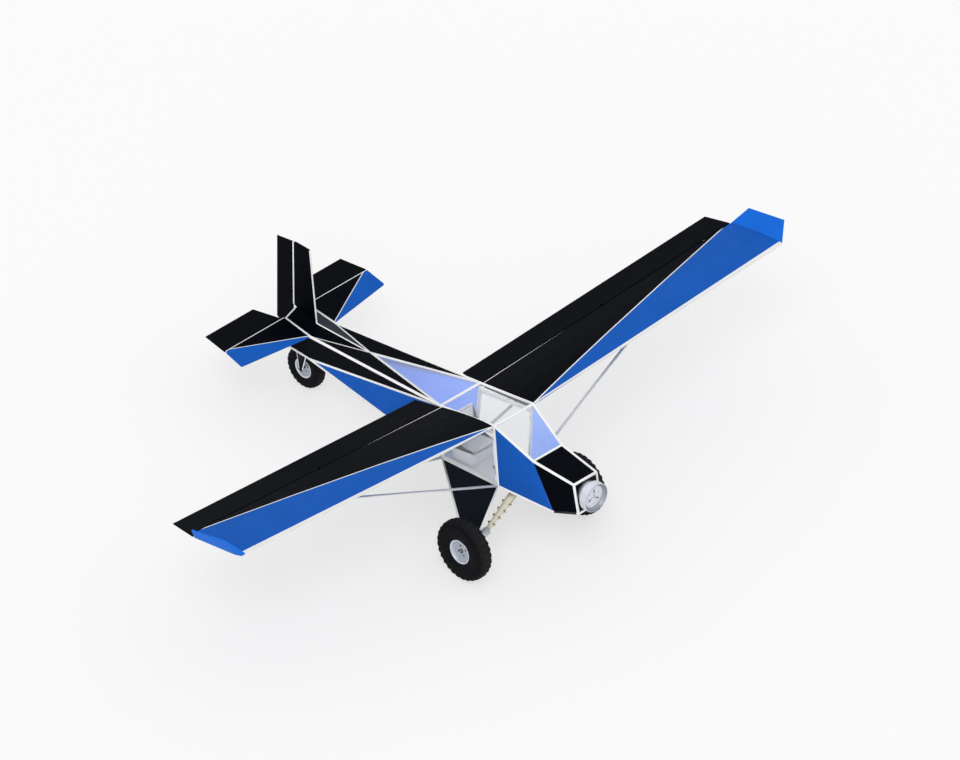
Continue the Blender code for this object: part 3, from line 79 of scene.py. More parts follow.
AHEAD, LEFT, UP = parked_way((1, 0, 0)), parked_way((0, 1, 0)), parked_way((0, 0, 1))
print("the nose points along", AHEAD.round(3), "and the cabin's up is", UP.round(3))

# %% [markdown]
# ## Surfaces
# Every fine surface here is a grid of points: one direction runs around or across the piece, the other
# along it. A modifier could turn a section too, but an array gives each point by one formula, closes where
# the piece closes, and takes a fan on each open end.

# %% Grid surfaces
def grid_mesh(name, grid, around=True, along=False, capped=True):
    """Quads between neighbours of a (rows, columns, 3) array. Columns close on themselves if around,
    rows if along, and each open end row gets a fan about its mean point if capped."""
    rows, columns, _ = grid.shape
    i = np.arange(rows if along else rows - 1)[:, None]
    j = np.arange(columns if around else columns - 1)[None, :]
    right = (j + 1) % columns
    above = (i + 1) % rows
    quads = np.stack([i * columns + j, i * columns + right, above * columns + right, above * columns + j], -1)
    points = grid.reshape(-1, 3)
    faces = quads.reshape(-1, 4).tolist()
    if capped and around and not along:
        ends = np.stack([grid[0].mean(0), grid[-1].mean(0)])
        k = np.arange(columns)
        onward = (k + 1) % columns
        first = np.full(columns, len(points))
        points = np.concatenate([points, ends])
        last_row = (rows - 1) * columns
        faces += np.stack([first, onward, k], -1).tolist()
        faces += np.stack([first + 1, last_row + k, last_row + onward], -1).tolist()
    mesh = bpy.data.meshes.new(name)
    mesh.from_pydata(points.tolist(), [], faces)
    return mesh


def tidy(mesh, merge=1e-5):
    """Merges doubles and points every face outwards."""
    bm = bmesh.new()
    bm.from_mesh(mesh)
    bmesh.ops.remove_doubles(bm, verts=bm.verts, dist=merge)
    bmesh.ops.recalc_face_normals(bm, faces=bm.faces)
    bm.to_mesh(mesh)
    bm.free()
    return mesh


print("grid surfaces: grid_mesh, tidy")

# %% [markdown]
# A finished piece rides on the body that carries it, takes its finish, and says which plain solids
# it stands for. Small things of one kind, such as bolts, share a mesh, which keeps the list short.

# %% Pieces on their bodies
def joined(name, meshes):
    """One mesh from several, each already in its place."""
    bm = bmesh.new()
    for mesh in meshes:
        bm.from_mesh(mesh)
    made = bpy.data.meshes.new(name)
    bm.to_mesh(made)
    bm.free()
    return made


def dress(name, mesh, body, finish, stands_for=(), sharp=35.0):
    """A finished piece of one mesh or several: smooth within the sharp angle, riding on a body, in place
    of plain solids."""
    mesh = joined(name, mesh) if isinstance(mesh, list) else mesh
    mesh.materials.clear()
    mesh.materials.append(finish)
    mesh.shade_smooth()
    mesh.set_sharp_from_angle(angle=math.radians(sharp))
    made = bpy.data.objects.new(name, mesh)
    bpy.context.scene.collection.objects.link(made)
    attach(made, body)
    if stands_for:
        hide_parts(*stands_for)
    return made


print("pieces: joined, dress")

# %% [markdown]
# Wheels, drums, bolts and grips are turned on a lathe, so their surface is a profile turned about an axis.
# Bent rods and piping are a round section carried along a line.

# %% Turned and carried surfaces
def square_to(way):
    """Two unit vectors square to a way and to each other."""
    way = np.asarray(way, float) / np.linalg.norm(way)
    guide = np.array([0.0, 0.0, 1.0]) if abs(way[2]) < 0.9 else np.array([1.0, 0.0, 0.0])
    first = np.cross(way, guide)
    first /= np.linalg.norm(first)
    return first, np.cross(way, first)


def turned(name, profile, centre, axis, segments, closed=True):
    """A profile of (radius, place along the axis), turned: centre + r (cos a, sin a) + s axis."""
    first, second = square_to(axis)
    axis = np.asarray(axis, float) / np.linalg.norm(axis)
    angle = np.arange(segments) * math.tau / segments
    outward = np.cos(angle)[:, None] * first + np.sin(angle)[:, None] * second
    profile = np.asarray(profile, float)
    grid = centre + profile[:, 0, None, None] * outward[None] + profile[:, 1, None, None] * axis
    return tidy(grid_mesh(name, grid, around=True, along=closed, capped=not closed))


def bar(name, start, end, radius, sides=20):
    """A round bar with slightly eased ends, between two points."""
    start, end = np.asarray(start, float), np.asarray(end, float)
    length = np.linalg.norm(end - start)
    ease = min(radius * 0.12, length * 0.1)
    profile = [(radius - ease, 0.0), (radius, ease), (radius, length - ease), (radius - ease, length)]
    return turned(name, profile, start, end - start, sides, closed=False)


def smooth_line(points, steps):
    """A curve through open points a, b, c, d, one span at a time:
    p(t) = (2b + (c - a) t + (2a - 5b + 4c - d) t^2 + (3b - a - 3c + d) t^3) / 2."""
    points = np.asarray(points, float)
    points = np.concatenate([2 * points[:1] - points[1:2], points, 2 * points[-1:] - points[-2:-1]])
    t = (np.arange(steps) / steps)[:, None, None]
    a, b, c, d = points[:-3], points[1:-2], points[2:-1], points[3:]
    spans = (2 * b + (c - a) * t + (2 * a - 5 * b + 4 * c - d) * t**2 + (3 * b - a - 3 * c + d) * t**3) / 2
    return np.concatenate([spans.transpose(1, 0, 2).reshape(-1, points.shape[1]), points[-2:-1]])


def swept(name, line, radii, guide, sides=16, closed=False):
    """A round section carried along a line: p + r (cos a guide + sin a (tangent x guide))."""
    line = np.asarray(line, float)
    if closed:
        tangent = np.roll(line, -1, axis=0) - np.roll(line, 1, axis=0)
    else:
        tangent = np.gradient(line, axis=0)
    across = np.cross(tangent, guide)
    across /= np.linalg.norm(across, axis=1, keepdims=True)
    angle = (np.arange(sides) * math.tau / sides)[None, :, None]
    ring = np.cos(angle) * np.asarray(guide, float) + np.sin(angle) * across[:, None]
    grid = line[:, None] + np.broadcast_to(radii, len(line))[:, None, None] * ring
    return tidy(grid_mesh(name, grid, around=True, along=closed, capped=not closed))


print("turned and carried surfaces: turned, bar, smooth_line, swept")

# %% [markdown]
# ## Finishes
# A finish is a small tree of shader nodes, and each helper puts in one kind of node. All patterns read
# object coordinates, so they keep one scale on every piece, move with it, and need no unwrapping.

# %% One node at a time
def begin(name):
    """A new material with its node tree and its Principled shader."""
    made = bpy.data.materials.new(name)
    made.use_nodes = True
    return made, made.node_tree, made.node_tree.nodes["Principled BSDF"]


def place_of(tree):
    """Object coordinates."""
    return tree.nodes.new("ShaderNodeTexCoord").outputs["Object"]


def calc(tree, operation, first, second=None, clamp=False):
    """One Math node."""
    node = tree.nodes.new("ShaderNodeMath")
    node.operation = operation
    node.use_clamp = clamp
    for socket, value in zip(node.inputs, (first, second)):
        if isinstance(value, bpy.types.NodeSocket):
            tree.links.new(value, socket)
        elif value is not None:
            socket.default_value = value
    return node.outputs[0]


def mix(tree, share, first, second, blend="MIX"):
    """The first colour where the share is 0 and the second where it is 1."""
    node = tree.nodes.new("ShaderNodeMix")
    node.data_type = "RGBA"
    node.blend_type = blend
    for socket, value in zip((node.inputs[0], node.inputs[6], node.inputs[7]), (share, first, second)):
        if isinstance(value, bpy.types.NodeSocket):
            tree.links.new(value, socket)
        elif isinstance(value, tuple):
            socket.default_value = (*value, 1.0)
        else:
            socket.default_value = value
    return node.outputs[2]


def node_of(tree, kind, **values):
    """A node of a kind, with some of its inputs linked to a socket or set to a number."""
    node = tree.nodes.new(f"ShaderNode{kind}")
    for key, value in values.items():
        if isinstance(value, bpy.types.NodeSocket):
            tree.links.new(value, node.inputs[key])
        else:
            node.inputs[key].default_value = value
    return node


def between(tree, value, low, high):
    """A number that goes from low to high as a value goes from 0 to 1."""
    return node_of(tree, "MapRange", **{"Value": value, "To Min": low, "To Max": high}).outputs["Result"]


print("node helpers: begin, place_of, calc, mix, node_of, between")


# %% Patterns and relief
def toned(tree, colour, value, low):
    """A colour that darkens to a share of itself where a value is 0."""
    return mix(tree, 1.0, colour, between(tree, value, low, 1.0), "MULTIPLY")


def noise(tree, place, scale, detail=3.0):
    """A soft random value between 0 and 1."""
    return node_of(tree, "TexNoise", Scale=scale, Detail=detail, Vector=place).outputs["Fac"]


def waves(tree, place, scale, direction):
    """Even bands across one direction."""
    node = node_of(tree, "TexWave", Scale=scale, Vector=place)
    node.bands_direction = direction
    return node.outputs["Fac"]


def bump(tree, shader, height, strength, distance):
    """Small relief that the light reads but the outline doesn't."""
    node = node_of(tree, "Bump", Strength=strength, Distance=distance, Height=height)
    tree.links.new(node.outputs["Normal"], shader.inputs["Normal"])


def roughness_range(tree, shader, value, low, high):
    """Roughness between two values, by a soft random value."""
    tree.links.new(between(tree, value, low, high), shader.inputs["Roughness"])


print("patterns: toned, noise, waves, bump, roughness_range")

# %% [markdown]
# Straight paint lines are masked with tape on the real aeroplane. Here each is a plane in object
# coordinates: the sign of the distance to it picks the colour, and a small distance is the line itself. A
# painted image could carry the scheme too, but planes stay sharp from close by.

# %% Planes and lines
def step_up(tree, distance, edge=0.0008):
    """0 before a plane and 1 past it, soft over the width of its edge."""
    return calc(tree, "ADD", calc(tree, "DIVIDE", distance, edge), 0.5, clamp=True)


def within(tree, distance, half):
    """1 within half a width of a plane and 0 elsewhere."""
    return step_up(tree, calc(tree, "SUBTRACT", half, calc(tree, "ABSOLUTE", distance)))


def past(tree, value, limit):
    """1 where a value is past a limit and 0 before it."""
    return step_up(tree, calc(tree, "SUBTRACT", value, limit))


def vector_calc(tree, operation, first, second=None):
    """One Vector Math node."""
    node = tree.nodes.new("ShaderNodeVectorMath")
    node.operation = operation
    tree.links.new(first, node.inputs[0])
    if second is not None:
        node.inputs[1].default_value = tuple(second)
    return node.outputs


def past_plane(tree, place, point, normal):
    """The distance of a place past the plane through a point."""
    normal = np.asarray(normal, float) / np.linalg.norm(normal)
    reach = vector_calc(tree, "DOT_PRODUCT", place, normal)["Value"]
    return calc(tree, "SUBTRACT", reach, float(np.dot(normal, point)))


def near_line(tree, place, start, end, radius, edge=0.0008):
    """1 within a radius of a line and 0 elsewhere: the length of (place - start) x way."""
    way = np.asarray(end, float) - np.asarray(start, float)
    offset = vector_calc(tree, "SUBTRACT", place, start)["Vector"]
    turned_away = vector_calc(tree, "CROSS_PRODUCT", offset, way / np.linalg.norm(way))["Vector"]
    length = vector_calc(tree, "LENGTH", turned_away)["Value"]
    return step_up(tree, calc(tree, "SUBTRACT", radius, length), edge)


print("paint edges: step_up, within, past_plane, near_line")


# %% Left and right, inside and outside
def parts_of(tree, vector):
    """The X, Y and Z of a vector."""
    return node_of(tree, "SeparateXYZ", Vector=vector).outputs


def facing(tree):
    """The X, Y and Z of the way that a face looks."""
    return parts_of(tree, tree.nodes.new("ShaderNodeTexCoord").outputs["Normal"])


def both_sides(tree):
    """Object coordinates with Y made positive, so that one rule paints the left and the right."""
    x, y, z = parts_of(tree, place_of(tree))
    return node_of(tree, "CombineXYZ", X=x, Y=calc(tree, "ABSOLUTE", y), Z=z).outputs[0]


def inward(tree):
    """1 on the faces that look towards the middle of the fuselage and 0 elsewhere."""
    side = calc(tree, "SIGN", parts_of(tree, place_of(tree))[1])
    outward = calc(tree, "MULTIPLY", facing(tree)[1], side)
    return calc(tree, "SUBTRACT", 1.0, step_up(tree, outward, 0.1))


print("sides: parts_of, facing, both_sides, inward")

# %% [markdown]
# The covering is painted cloth, pulled tight: satin paint over a fine weave. Two sets of waves make the
# weave, and two noises tone the paint. Real threads would need millions of faces, so the relief is in the finish.

# %% Painted cloth
BLUE = (0.0120, 0.120, 0.550)
BLACK = (0.0009, 0.0017, 0.0042)
# Painted light: the left tail top panel is this grey, where its mirror twin on the right is black.
LIT_PANEL_GREY = (0.0340, 0.0440, 0.0540)
WHITE = (0.95, 0.953, 0.955)
THREAD = 260.0


def covering(name, colour_of, daylight=0.0):
    """Painted cloth. colour_of is a colour, or a function that paints by place. Daylight that glows
    through the thin cloth shows on its inner face as a weak light of the cloth's own colour."""
    made, tree, shader = begin(name)
    place = place_of(tree)
    colour = colour_of(tree) if callable(colour_of) else colour_of
    weave = calc(tree, "ADD", waves(tree, place, THREAD, "X"), waves(tree, place, THREAD, "Z"))
    colour = toned(tree, colour, noise(tree, place, 2.6), 0.80)
    colour = toned(tree, colour, noise(tree, place, 55.0, 4.0), 0.88)
    tree.links.new(colour, shader.inputs["Base Color"])
    roughness_range(tree, shader, noise(tree, place, 9.0), 0.44, 0.60)
    bump(tree, shader, weave, 0.10, 0.0004)
    if daylight:
        tree.links.new(colour, shader.inputs["Emission Color"])
        tree.links.new(calc(tree, "MULTIPLY", inward(tree), daylight), shader.inputs["Emission Strength"])
    shader.inputs["Specular IOR Level"].default_value = 0.02
    return made


BLACK_CLOTH = covering("black covering", BLACK)
LIT_PANEL_CLOTH = covering("black covering with painted light", LIT_PANEL_GREY)
print("coverings:", BLACK_CLOTH.name, "and", LIT_PANEL_CLOTH.name)

# %% [markdown]
# Daylight shines through the thin side panels, so they look pale blue from the cabin. Light through the
# cloth would take many samples, so the inner face is painted pale blue as painted light, with a weak glow
# of it. The floor is black below and pale above.

# %% Sides and floor
# Painted light: the pale blue of the inner faces stands for daylight through the cloth.
DAYLIT_BLUE = (0.23, 0.40, 0.91)
DAYLIGHT = 0.42


def lit_through(outside, inside):
    """Paint for a panel whose face towards the middle of the cabin is painted pale, as painted light for the
    daylight through the cloth.
    """
    return lambda tree: mix(tree, inward(tree), outside, inside)


def floor_paint(tree):
    """The belly skin: black outside, and pale where it is the cabin's floor."""
    return mix(tree, step_up(tree, facing(tree)[2], 0.1), BLACK, WHITE)


BLUE_SIDE = covering("blue side covering", lit_through(BLUE, DAYLIT_BLUE), DAYLIGHT)
BLACK_SIDE = covering("black side covering", lit_through(BLACK, DAYLIT_BLUE), DAYLIGHT)
FLOOR_CLOTH = covering("belly covering", floor_paint)
print("two-faced coverings:", BLUE_SIDE.name, BLACK_SIDE.name, FLOOR_CLOTH.name)

# %% [markdown]
# A wing is blue ahead of the diagonal that runs from its root leading edge to the outer end of the hinge
# line, and black behind it, with white lines along the diagonal, the leading edge and the hinge. The
# raised tip is painted a lighter blue, as painted light where more light falls on it.

# %% The wing's paint
# Painted light: the raised tip's lighter blue stands for the light that falls on it.
LIT_TIP_BLUE = (0.0130, 0.175, 0.800)
ROOF_FRONT = np.array([0.0, 0.340, 0.0])
INCIDENCE, DIHEDRAL = math.radians(9.43), math.radians(3.35)
CHORD_WAY = np.array([-math.cos(INCIDENCE), 0.0, -math.sin(INCIDENCE)])
WING_UP = np.array([-math.sin(INCIDENCE), 0.0, math.cos(INCIDENCE)])
SPAN_WAY = np.array([0.0, math.cos(DIHEDRAL), math.sin(DIHEDRAL)])
WING_TIP_Y = 4.746
WING_TO_HINGE = 0.958
LINE = 0.009
NOSE_STRIP = 0.010
REAR_STRIP = (0.908, 0.9225)


def on_wing(along, y):
    """A point of the left wing: distance behind the leading edge, and span."""
    return ROOF_FRONT + SPAN_WAY * ((y - ROOF_FRONT[1]) / SPAN_WAY[1]) + CHORD_WAY * along


def wing_paint(tree):
    """Blue ahead of the diagonal, black behind it, white on the lines."""
    place = both_sides(tree)
    start, end = parked(ROOF_FRONT), parked(on_wing(WING_TO_HINGE, WING_TIP_Y))
    ahead = np.cross(end - start, parked_way(WING_UP))
    diagonal = past_plane(tree, place, start, ahead)
    out_there = past_plane(tree, place, parked(on_wing(0, WING_TIP_Y)), parked_way(SPAN_WAY))
    # Painted light: past the tip's plane, the blue turns to the lighter tip blue.
    blue_and_lit_tip = mix(tree, step_up(tree, out_there), BLUE, LIT_TIP_BLUE)
    colour = mix(tree, step_up(tree, diagonal), BLACK, blue_and_lit_tip)
    colour = mix(tree, within(tree, diagonal, LINE), colour, WHITE)
    rear = past_plane(tree, place, start, parked_way(CHORD_WAY))
    colour = mix(tree, past(tree, rear, REAR_STRIP[0]), colour, WHITE)
    nose = calc(tree, "MULTIPLY", past(tree, NOSE_STRIP, rear),
                calc(tree, "SUBTRACT", 1.0, step_up(tree, out_there)))
    colour = mix(tree, nose, colour, WHITE)
    return mix(tree, past(tree, rear, REAR_STRIP[1]), colour, BLACK)


WING_CLOTH = covering("wing covering", wing_paint)
print("wing diagonal ends at", parked(on_wing(WING_TO_HINGE, WING_TIP_Y)).round(3))

# %% [markdown]
# The tail repeats the scheme: a blue corner outside a diagonal on the tailplane, a black fin, and a white
# strip ahead of each hinge.

# %% The tail's paint
STAB_FRONT = np.array([-3.385, 0.213, -0.388])
HINGE_X, HINGE_Z = -3.869, -0.335
STAB_TIP_Y = 1.245
FIN_FOOT = (-3.475, 0.0, -0.340)
FIN_TOP = (-3.601, 0.0, 0.716)
RUDDER_FOOT, RUDDER_TOP = (-3.901, 0.0, -0.700), (-3.919, 0.0, 0.700)
TAIL_LINE = 0.005
STAB_STRIP = (0.0325, 0.021)
FIN_STRIP = (0.046, 0.021)
FIN_NOSE_STRIP = 0.006


def tail_paint(tree):
    """The tailplane: blue outside the diagonal from its root leading edge to its tip at the hinge."""
    place = both_sides(tree)
    start = parked(STAB_FRONT)
    end = parked((HINGE_X, STAB_TIP_Y, HINGE_Z))
    ahead = np.cross(end - start, UP)
    diagonal = past_plane(tree, place, start, ahead)
    colour = mix(tree, step_up(tree, diagonal), BLACK, BLUE)
    colour = mix(tree, within(tree, diagonal, TAIL_LINE), colour, WHITE)
    to_hinge = past_plane(tree, place, parked((HINGE_X, 0, HINGE_Z)), AHEAD)
    colour = mix(tree, past(tree, STAB_STRIP[0], to_hinge), colour, WHITE)
    return mix(tree, past(tree, STAB_STRIP[1], to_hinge), colour, BLACK)


def fin_paint(tree):
    """The black fin: a white strip ahead of the hinge and a thin white leading edge."""
    place = place_of(tree)
    rudder_way = np.subtract(RUDDER_TOP, RUDDER_FOOT)
    ahead = parked_way((rudder_way[2], 0.0, -rudder_way[0]))
    hinge = past_plane(tree, place, parked(RUDDER_FOOT), ahead)
    colour = mix(tree, past(tree, FIN_STRIP[0], hinge), BLACK, WHITE)
    colour = mix(tree, past(tree, FIN_STRIP[1], hinge), colour, BLACK)
    nose_way = np.subtract(FIN_TOP, FIN_FOOT)
    nose = past_plane(tree, place, parked(FIN_FOOT), parked_way((-nose_way[2], 0.0, nose_way[0])))
    return mix(tree, past(tree, FIN_NOSE_STRIP, nose), colour, WHITE)


TAIL_CLOTH = covering("tailplane covering", tail_paint)
FIN_CLOTH = covering("fin covering", fin_paint)
print("tail coverings:", TAIL_CLOTH.name, "and", FIN_CLOTH.name)

# %% [markdown]
# Tubes and fittings are sprayed with enamel, which dries with a faint orange-peel and small changes of
# tone. One function gives every gloss, from the white tubes to the dull gear covers.

# %% Sprayed enamel
def enamel(name, colour_of, low=0.24, high=0.38, gloss=0.35, coat=0.15):
    """Sprayed enamel with a faint orange-peel."""
    made, tree, shader = begin(name)
    place = place_of(tree)
    colour = colour_of(tree) if callable(colour_of) else colour_of
    colour = toned(tree, colour, noise(tree, place, 5.0), 0.93)
    tree.links.new(toned(tree, colour, noise(tree, place, 70.0, 5.0), 0.95), shader.inputs["Base Color"])
    roughness_range(tree, shader, noise(tree, place, 14.0), low, high)
    bump(tree, shader, noise(tree, place, 420.0, 1.0), 0.05, 0.0005)
    shader.inputs["Specular IOR Level"].default_value = gloss
    shader.inputs["Coat Weight"].default_value = coat
    shader.inputs["Coat Roughness"].default_value = 0.15
    return made


WHITE_ENAMEL = enamel("white enamel", WHITE)
GREY_ENAMEL = enamel("pale grey enamel", (0.93, 0.94, 0.95))
BLACK_ENAMEL = enamel("black enamel", BLACK, 0.34, 0.50, 0.08, 0.0)
LEG_ENAMEL = enamel("gear cover enamel", (0.0070, 0.0098, 0.0160), 0.34, 0.50, 0.05, 0.0)
TAN_ENAMEL = enamel("tan enamel", (0.75, 0.71, 0.56), 0.35, 0.50)
SHELL_ENAMEL = enamel("seat shell enamel", (0.88, 0.90, 0.93))
print("enamels: white, pale grey, black, gear cover, tan, seat shell")

# %% [markdown]
# The cage is white, but black along the lower nose and under the fin, where its tubes border black panels.
# The gear legs are white on a silver axle. Splitting the frames would show seams, so the distance from a
# tube's middle line picks the colour.

# %% The cage and the gear legs
SILVER = (0.60, 0.63, 0.68)
NOSE_BOTTOM = (1.333, 0.188, -0.748)
CHIN = (0.918, 0.213, -0.913)
FIN_HEEL = (-3.834, 0.0, -0.250)
AXLE_INNER, AXLE_OUTER = (0.1375, 0.600, -1.392), (0.1375, 0.900, -1.4825)
AXLE_R = 0.0535


def tube_run(tree, place, start, end, radius, clear):
    """1 on the tube between two corners, apart from a clear length at each end."""
    start, end = parked(start), parked(end)
    run = past_plane(tree, place, start, end - start)
    length = float(np.linalg.norm(end - start))
    inside = calc(tree, "MULTIPLY", past(tree, run, clear), past(tree, length - clear, run))
    return calc(tree, "MULTIPLY", inside, near_line(tree, place, start, end, radius))


def cage_paint(tree):
    """White tubes, black along the lower nose and along the ridge under the fin."""
    place = both_sides(tree)
    nose = tube_run(tree, place, NOSE_BOTTOM, CHIN, 0.022, 0.02)
    ridge = tube_run(tree, place, FIN_FOOT, FIN_HEEL, 0.014, 0.01)
    return mix(tree, calc(tree, "ADD", nose, ridge, clamp=True), WHITE, BLACK)


def leg_paint(tree):
    """White gear tubes on a silver axle."""
    place = both_sides(tree)
    axle = near_line(tree, place, parked(AXLE_INNER), parked(AXLE_OUTER), AXLE_R)
    return mix(tree, axle, WHITE, SILVER)


CAGE_ENAMEL = enamel("white tube enamel", cage_paint)
LEG_TUBE = enamel("gear leg enamel", leg_paint)
print("two-coloured enamels:", CAGE_ENAMEL.name, "and", LEG_TUBE.name)

# %% [markdown]
# The windows are thin clear sheet with a pale haze. Sheet so thin bends light too little to see, so it is
# mostly clear by its alpha, without a full glass shader.

# %% Clear sheet
def glazing(name, colour, alpha):
    """Thin clear sheet with a pale haze."""
    made, tree, shader = begin(name)
    place = place_of(tree)
    tree.links.new(toned(tree, colour, noise(tree, place, 2.5), 0.94), shader.inputs["Base Color"])
    roughness_range(tree, shader, noise(tree, place, 30.0), 0.05, 0.12)
    shader.inputs["Alpha"].default_value = alpha
    shader.inputs["Specular IOR Level"].default_value = 0.4
    return made


CLEAR = glazing("clear glazing", (0.96, 0.98, 1.0), 0.10)
print("glazing:", CLEAR.name)

# %% [markdown]
# Tyre rubber is matt and nearly black. Its tread is painted lighter than the sidewall, as painted light
# for the lit tops of the blocks. The distance from the axle tells the tread from the sidewall, so the tone
# stays right however the wheel is turned.

# %% Tyre rubber
MAIN_WHEEL, TAIL_WHEEL = (0.1375, 1.0075, -1.4825), (-3.6625, 0.0, -1.082)


def rubber(name, centre, tread_r):
    """Matt tyre rubber, painted lighter towards the tread as painted light: past a radius about the axle."""
    made, tree, shader = begin(name)
    place = place_of(tree)
    grime = noise(tree, place, 22.0, 5.0)
    colour = mix(tree, grime, (0.0035, 0.0037, 0.0050), (0.0065, 0.0067, 0.0080))
    # Painted light: past tread_r from the axle, the tread is a lighter grey than the sidewall.
    low = near_line(tree, place, centre, centre + LEFT, tread_r, 0.06)
    colour = mix(tree, low, (0.0210, 0.0215, 0.0235), colour)
    tree.links.new(colour, shader.inputs["Base Color"])
    roughness_range(tree, shader, noise(tree, place, 60.0), 0.62, 0.85)
    bump(tree, shader, noise(tree, place, 500.0, 2.0), 0.20, 0.0005)
    shader.inputs["Specular IOR Level"].default_value = 0.07
    return made


MAIN_RUBBER = rubber("main tyre rubber", parked(MAIN_WHEEL), 0.4075)
TAIL_RUBBER = rubber("tail tyre rubber", parked(TAIL_WHEEL), 0.2820)
print("rubbers:", MAIN_RUBBER.name, "and", TAIL_RUBBER.name)

# %% [markdown]
# Bare metal shows the grain of the tool that cut it: noise drawn out along one way. The hubs' discs are
# duller than their rolled rims, and the sloping wall of the drum's dish is painted darker than its floor,
# as painted shade in the recess.

# %% Bare metal
MOTOR_BACK = (1.358, 0.0, -0.541)
DISH_RIM_R, DISH_FLOOR_R, DISH_FLOOR = 0.1955, 0.1480, 0.0555


def metal(name, colour_of, low, high, grain=(40.0, 40.0, 40.0), metallic=0.85):
    """Bare metal with a grain drawn out along one way."""
    made, tree, shader = begin(name)
    colour = colour_of(tree) if callable(colour_of) else colour_of
    stretch = tree.nodes.new("ShaderNodeMapping")
    stretch.inputs["Scale"].default_value = grain
    tree.links.new(place_of(tree), stretch.inputs["Vector"])
    streak = noise(tree, stretch.outputs[0], 8.0, 4.0)
    colour = toned(tree, colour, streak, 0.84)
    tree.links.new(toned(tree, colour, noise(tree, place_of(tree), 12.0), 0.90), shader.inputs["Base Color"])
    roughness_range(tree, shader, streak, low, high)
    shader.inputs["Metallic"].default_value = metallic
    bump(tree, shader, streak, 0.06, 0.0004)
    return made


def drum_paint(tree):
    """Bare metal, with painted shade: darker on the sloping wall of the dish."""
    place, back = place_of(tree), parked(MOTOR_BACK)
    # Painted shade: the dish's sloping wall, between the rim and floor radii, is darker.
    wall = calc(tree, "SUBTRACT", near_line(tree, place, back, back + AHEAD, DISH_RIM_R, 0.004),
                near_line(tree, place, back, back + AHEAD, DISH_FLOOR_R, 0.012))
    inside = step_up(tree, past_plane(tree, place, back + AHEAD * DISH_FLOOR, AHEAD))
    return mix(tree, calc(tree, "MULTIPLY", wall, inside), (0.78, 0.82, 0.90), (0.36, 0.38, 0.43))


def hub_paint(tree):
    """Bright rolled rims, and a duller disc inside them."""
    place = place_of(tree)
    discs = [near_line(tree, place, parked(middle), parked(middle) + LEFT, radius, 0.003)
             for middle, radius in ((MAIN_WHEEL, 0.1425), (TAIL_WHEEL, 0.1150))]
    return mix(tree, calc(tree, "ADD", *discs, clamp=True), (0.76, 0.79, 0.86), (0.47, 0.51, 0.58))


HUB_METAL = metal("hub metal", hub_paint, 0.34, 0.50, metallic=0.5)
DRUM_METAL = metal("drum metal", drum_paint, 0.34, 0.48, (400.0, 20.0, 20.0), 0.5)
FITTING_METAL = metal("fitting metal", SILVER, 0.3, 0.45, metallic=0.6)
BOLT_METAL = metal("dark bolts", (0.030, 0.032, 0.038), 0.35, 0.5)
print("metals: hub, drum, fitting, bolts")

# %% [markdown]
# The seat's cover is woven: two sets of threads, one over the other. Its piping is a finer, darker weave.

# %% Seat cloth
def cloth(name, colour, scale=190.0):
    """Woven seat cloth: two sets of threads, one over the other."""
    made, tree, shader = begin(name)
    place = place_of(tree)
    threads = calc(tree, "MULTIPLY", waves(tree, place, scale, "Y"), waves(tree, place, scale, "Z"))
    colour = mix(tree, threads, colour, tuple(c * 0.55 for c in colour))
    tree.links.new(toned(tree, colour, noise(tree, place, 14.0, 4.0), 0.82), shader.inputs["Base Color"])
    roughness_range(tree, shader, noise(tree, place, 40.0), 0.75, 0.92)
    bump(tree, shader, threads, 0.35, 0.0006)
    shader.inputs["Sheen Weight"].default_value = 0.20
    return made


SEAT_CLOTH = cloth("seat cloth", (0.84, 0.86, 0.90))
PIPING_CLOTH = cloth("seat piping", (0.30, 0.32, 0.36), 420.0)
print("seat cloths:", SEAT_CLOTH.name, "and", PIPING_CLOTH.name)

# %% [markdown]
# The plain solids already have the right outline, so they keep their shape and take a finish each. The
# start of a node's name picks it, which gives the left and the right piece the same.

# %% Finishes of the plain solids
FINISHES = {
    "fuselage_frame": CAGE_ENAMEL, "windshield": CLEAR, "roof_glass": CLEAR, "rear_glass": CLEAR,
    "door_glass_": CLEAR, "cowl_": BLACK_CLOTH, "firewall": BLACK_ENAMEL, "forward_side_": BLUE_SIDE,
    "aft_side_lower_": BLUE_SIDE, "aft_side_upper_": BLACK_SIDE, "aft_top_": BLACK_CLOTH,
    # Painted light: the left tail top panel is grey, its right twin black.
    "tail_top_left": LIT_PANEL_CLOTH, "tail_top_right": BLACK_CLOTH, "belly_skin": FLOOR_CLOTH,
    "wing_": WING_CLOTH, "flaperon_": BLACK_CLOTH, "fin": FIN_CLOTH, "rudder": BLACK_CLOTH,
    "elevator": BLACK_CLOTH, "stabilizer_": TAIL_CLOTH, "control_stick": BLACK_ENAMEL,
    "rudder_pedals": FITTING_METAL, "instrument_panel": BLACK_ENAMEL,
    "lift_strut_": GREY_ENAMEL, "gear_leg_": LEG_TUBE, "gear_cover_": LEG_ENAMEL,
    "shock_strut_": TAN_ENAMEL, "shock_mount": FITTING_METAL, "tail_fork": BLACK_ENAMEL,
    "door_frame_": WHITE_ENAMEL, "motor_mount": FITTING_METAL, "motor_drum": DRUM_METAL,
    "seat": SEAT_CLOTH, "tyre_main_": MAIN_RUBBER, "tyre_tail": TAIL_RUBBER, "hub_": HUB_METAL,
}


def finish_for(node):
    """The finish whose name begins the node's name."""
    return next(finish for start, finish in FINISHES.items() if node.startswith(start))


for node, solid in nodes.items():
    solid.data.materials.clear()
    solid.data.materials.append(finish_for(node))
print("finished", len(nodes), "solids")

# %% [markdown]
# Round solids of few sides look like prisms in close views. Their copies share corners again and shade
# smoothly across every shallow edge, which needs no new shape.

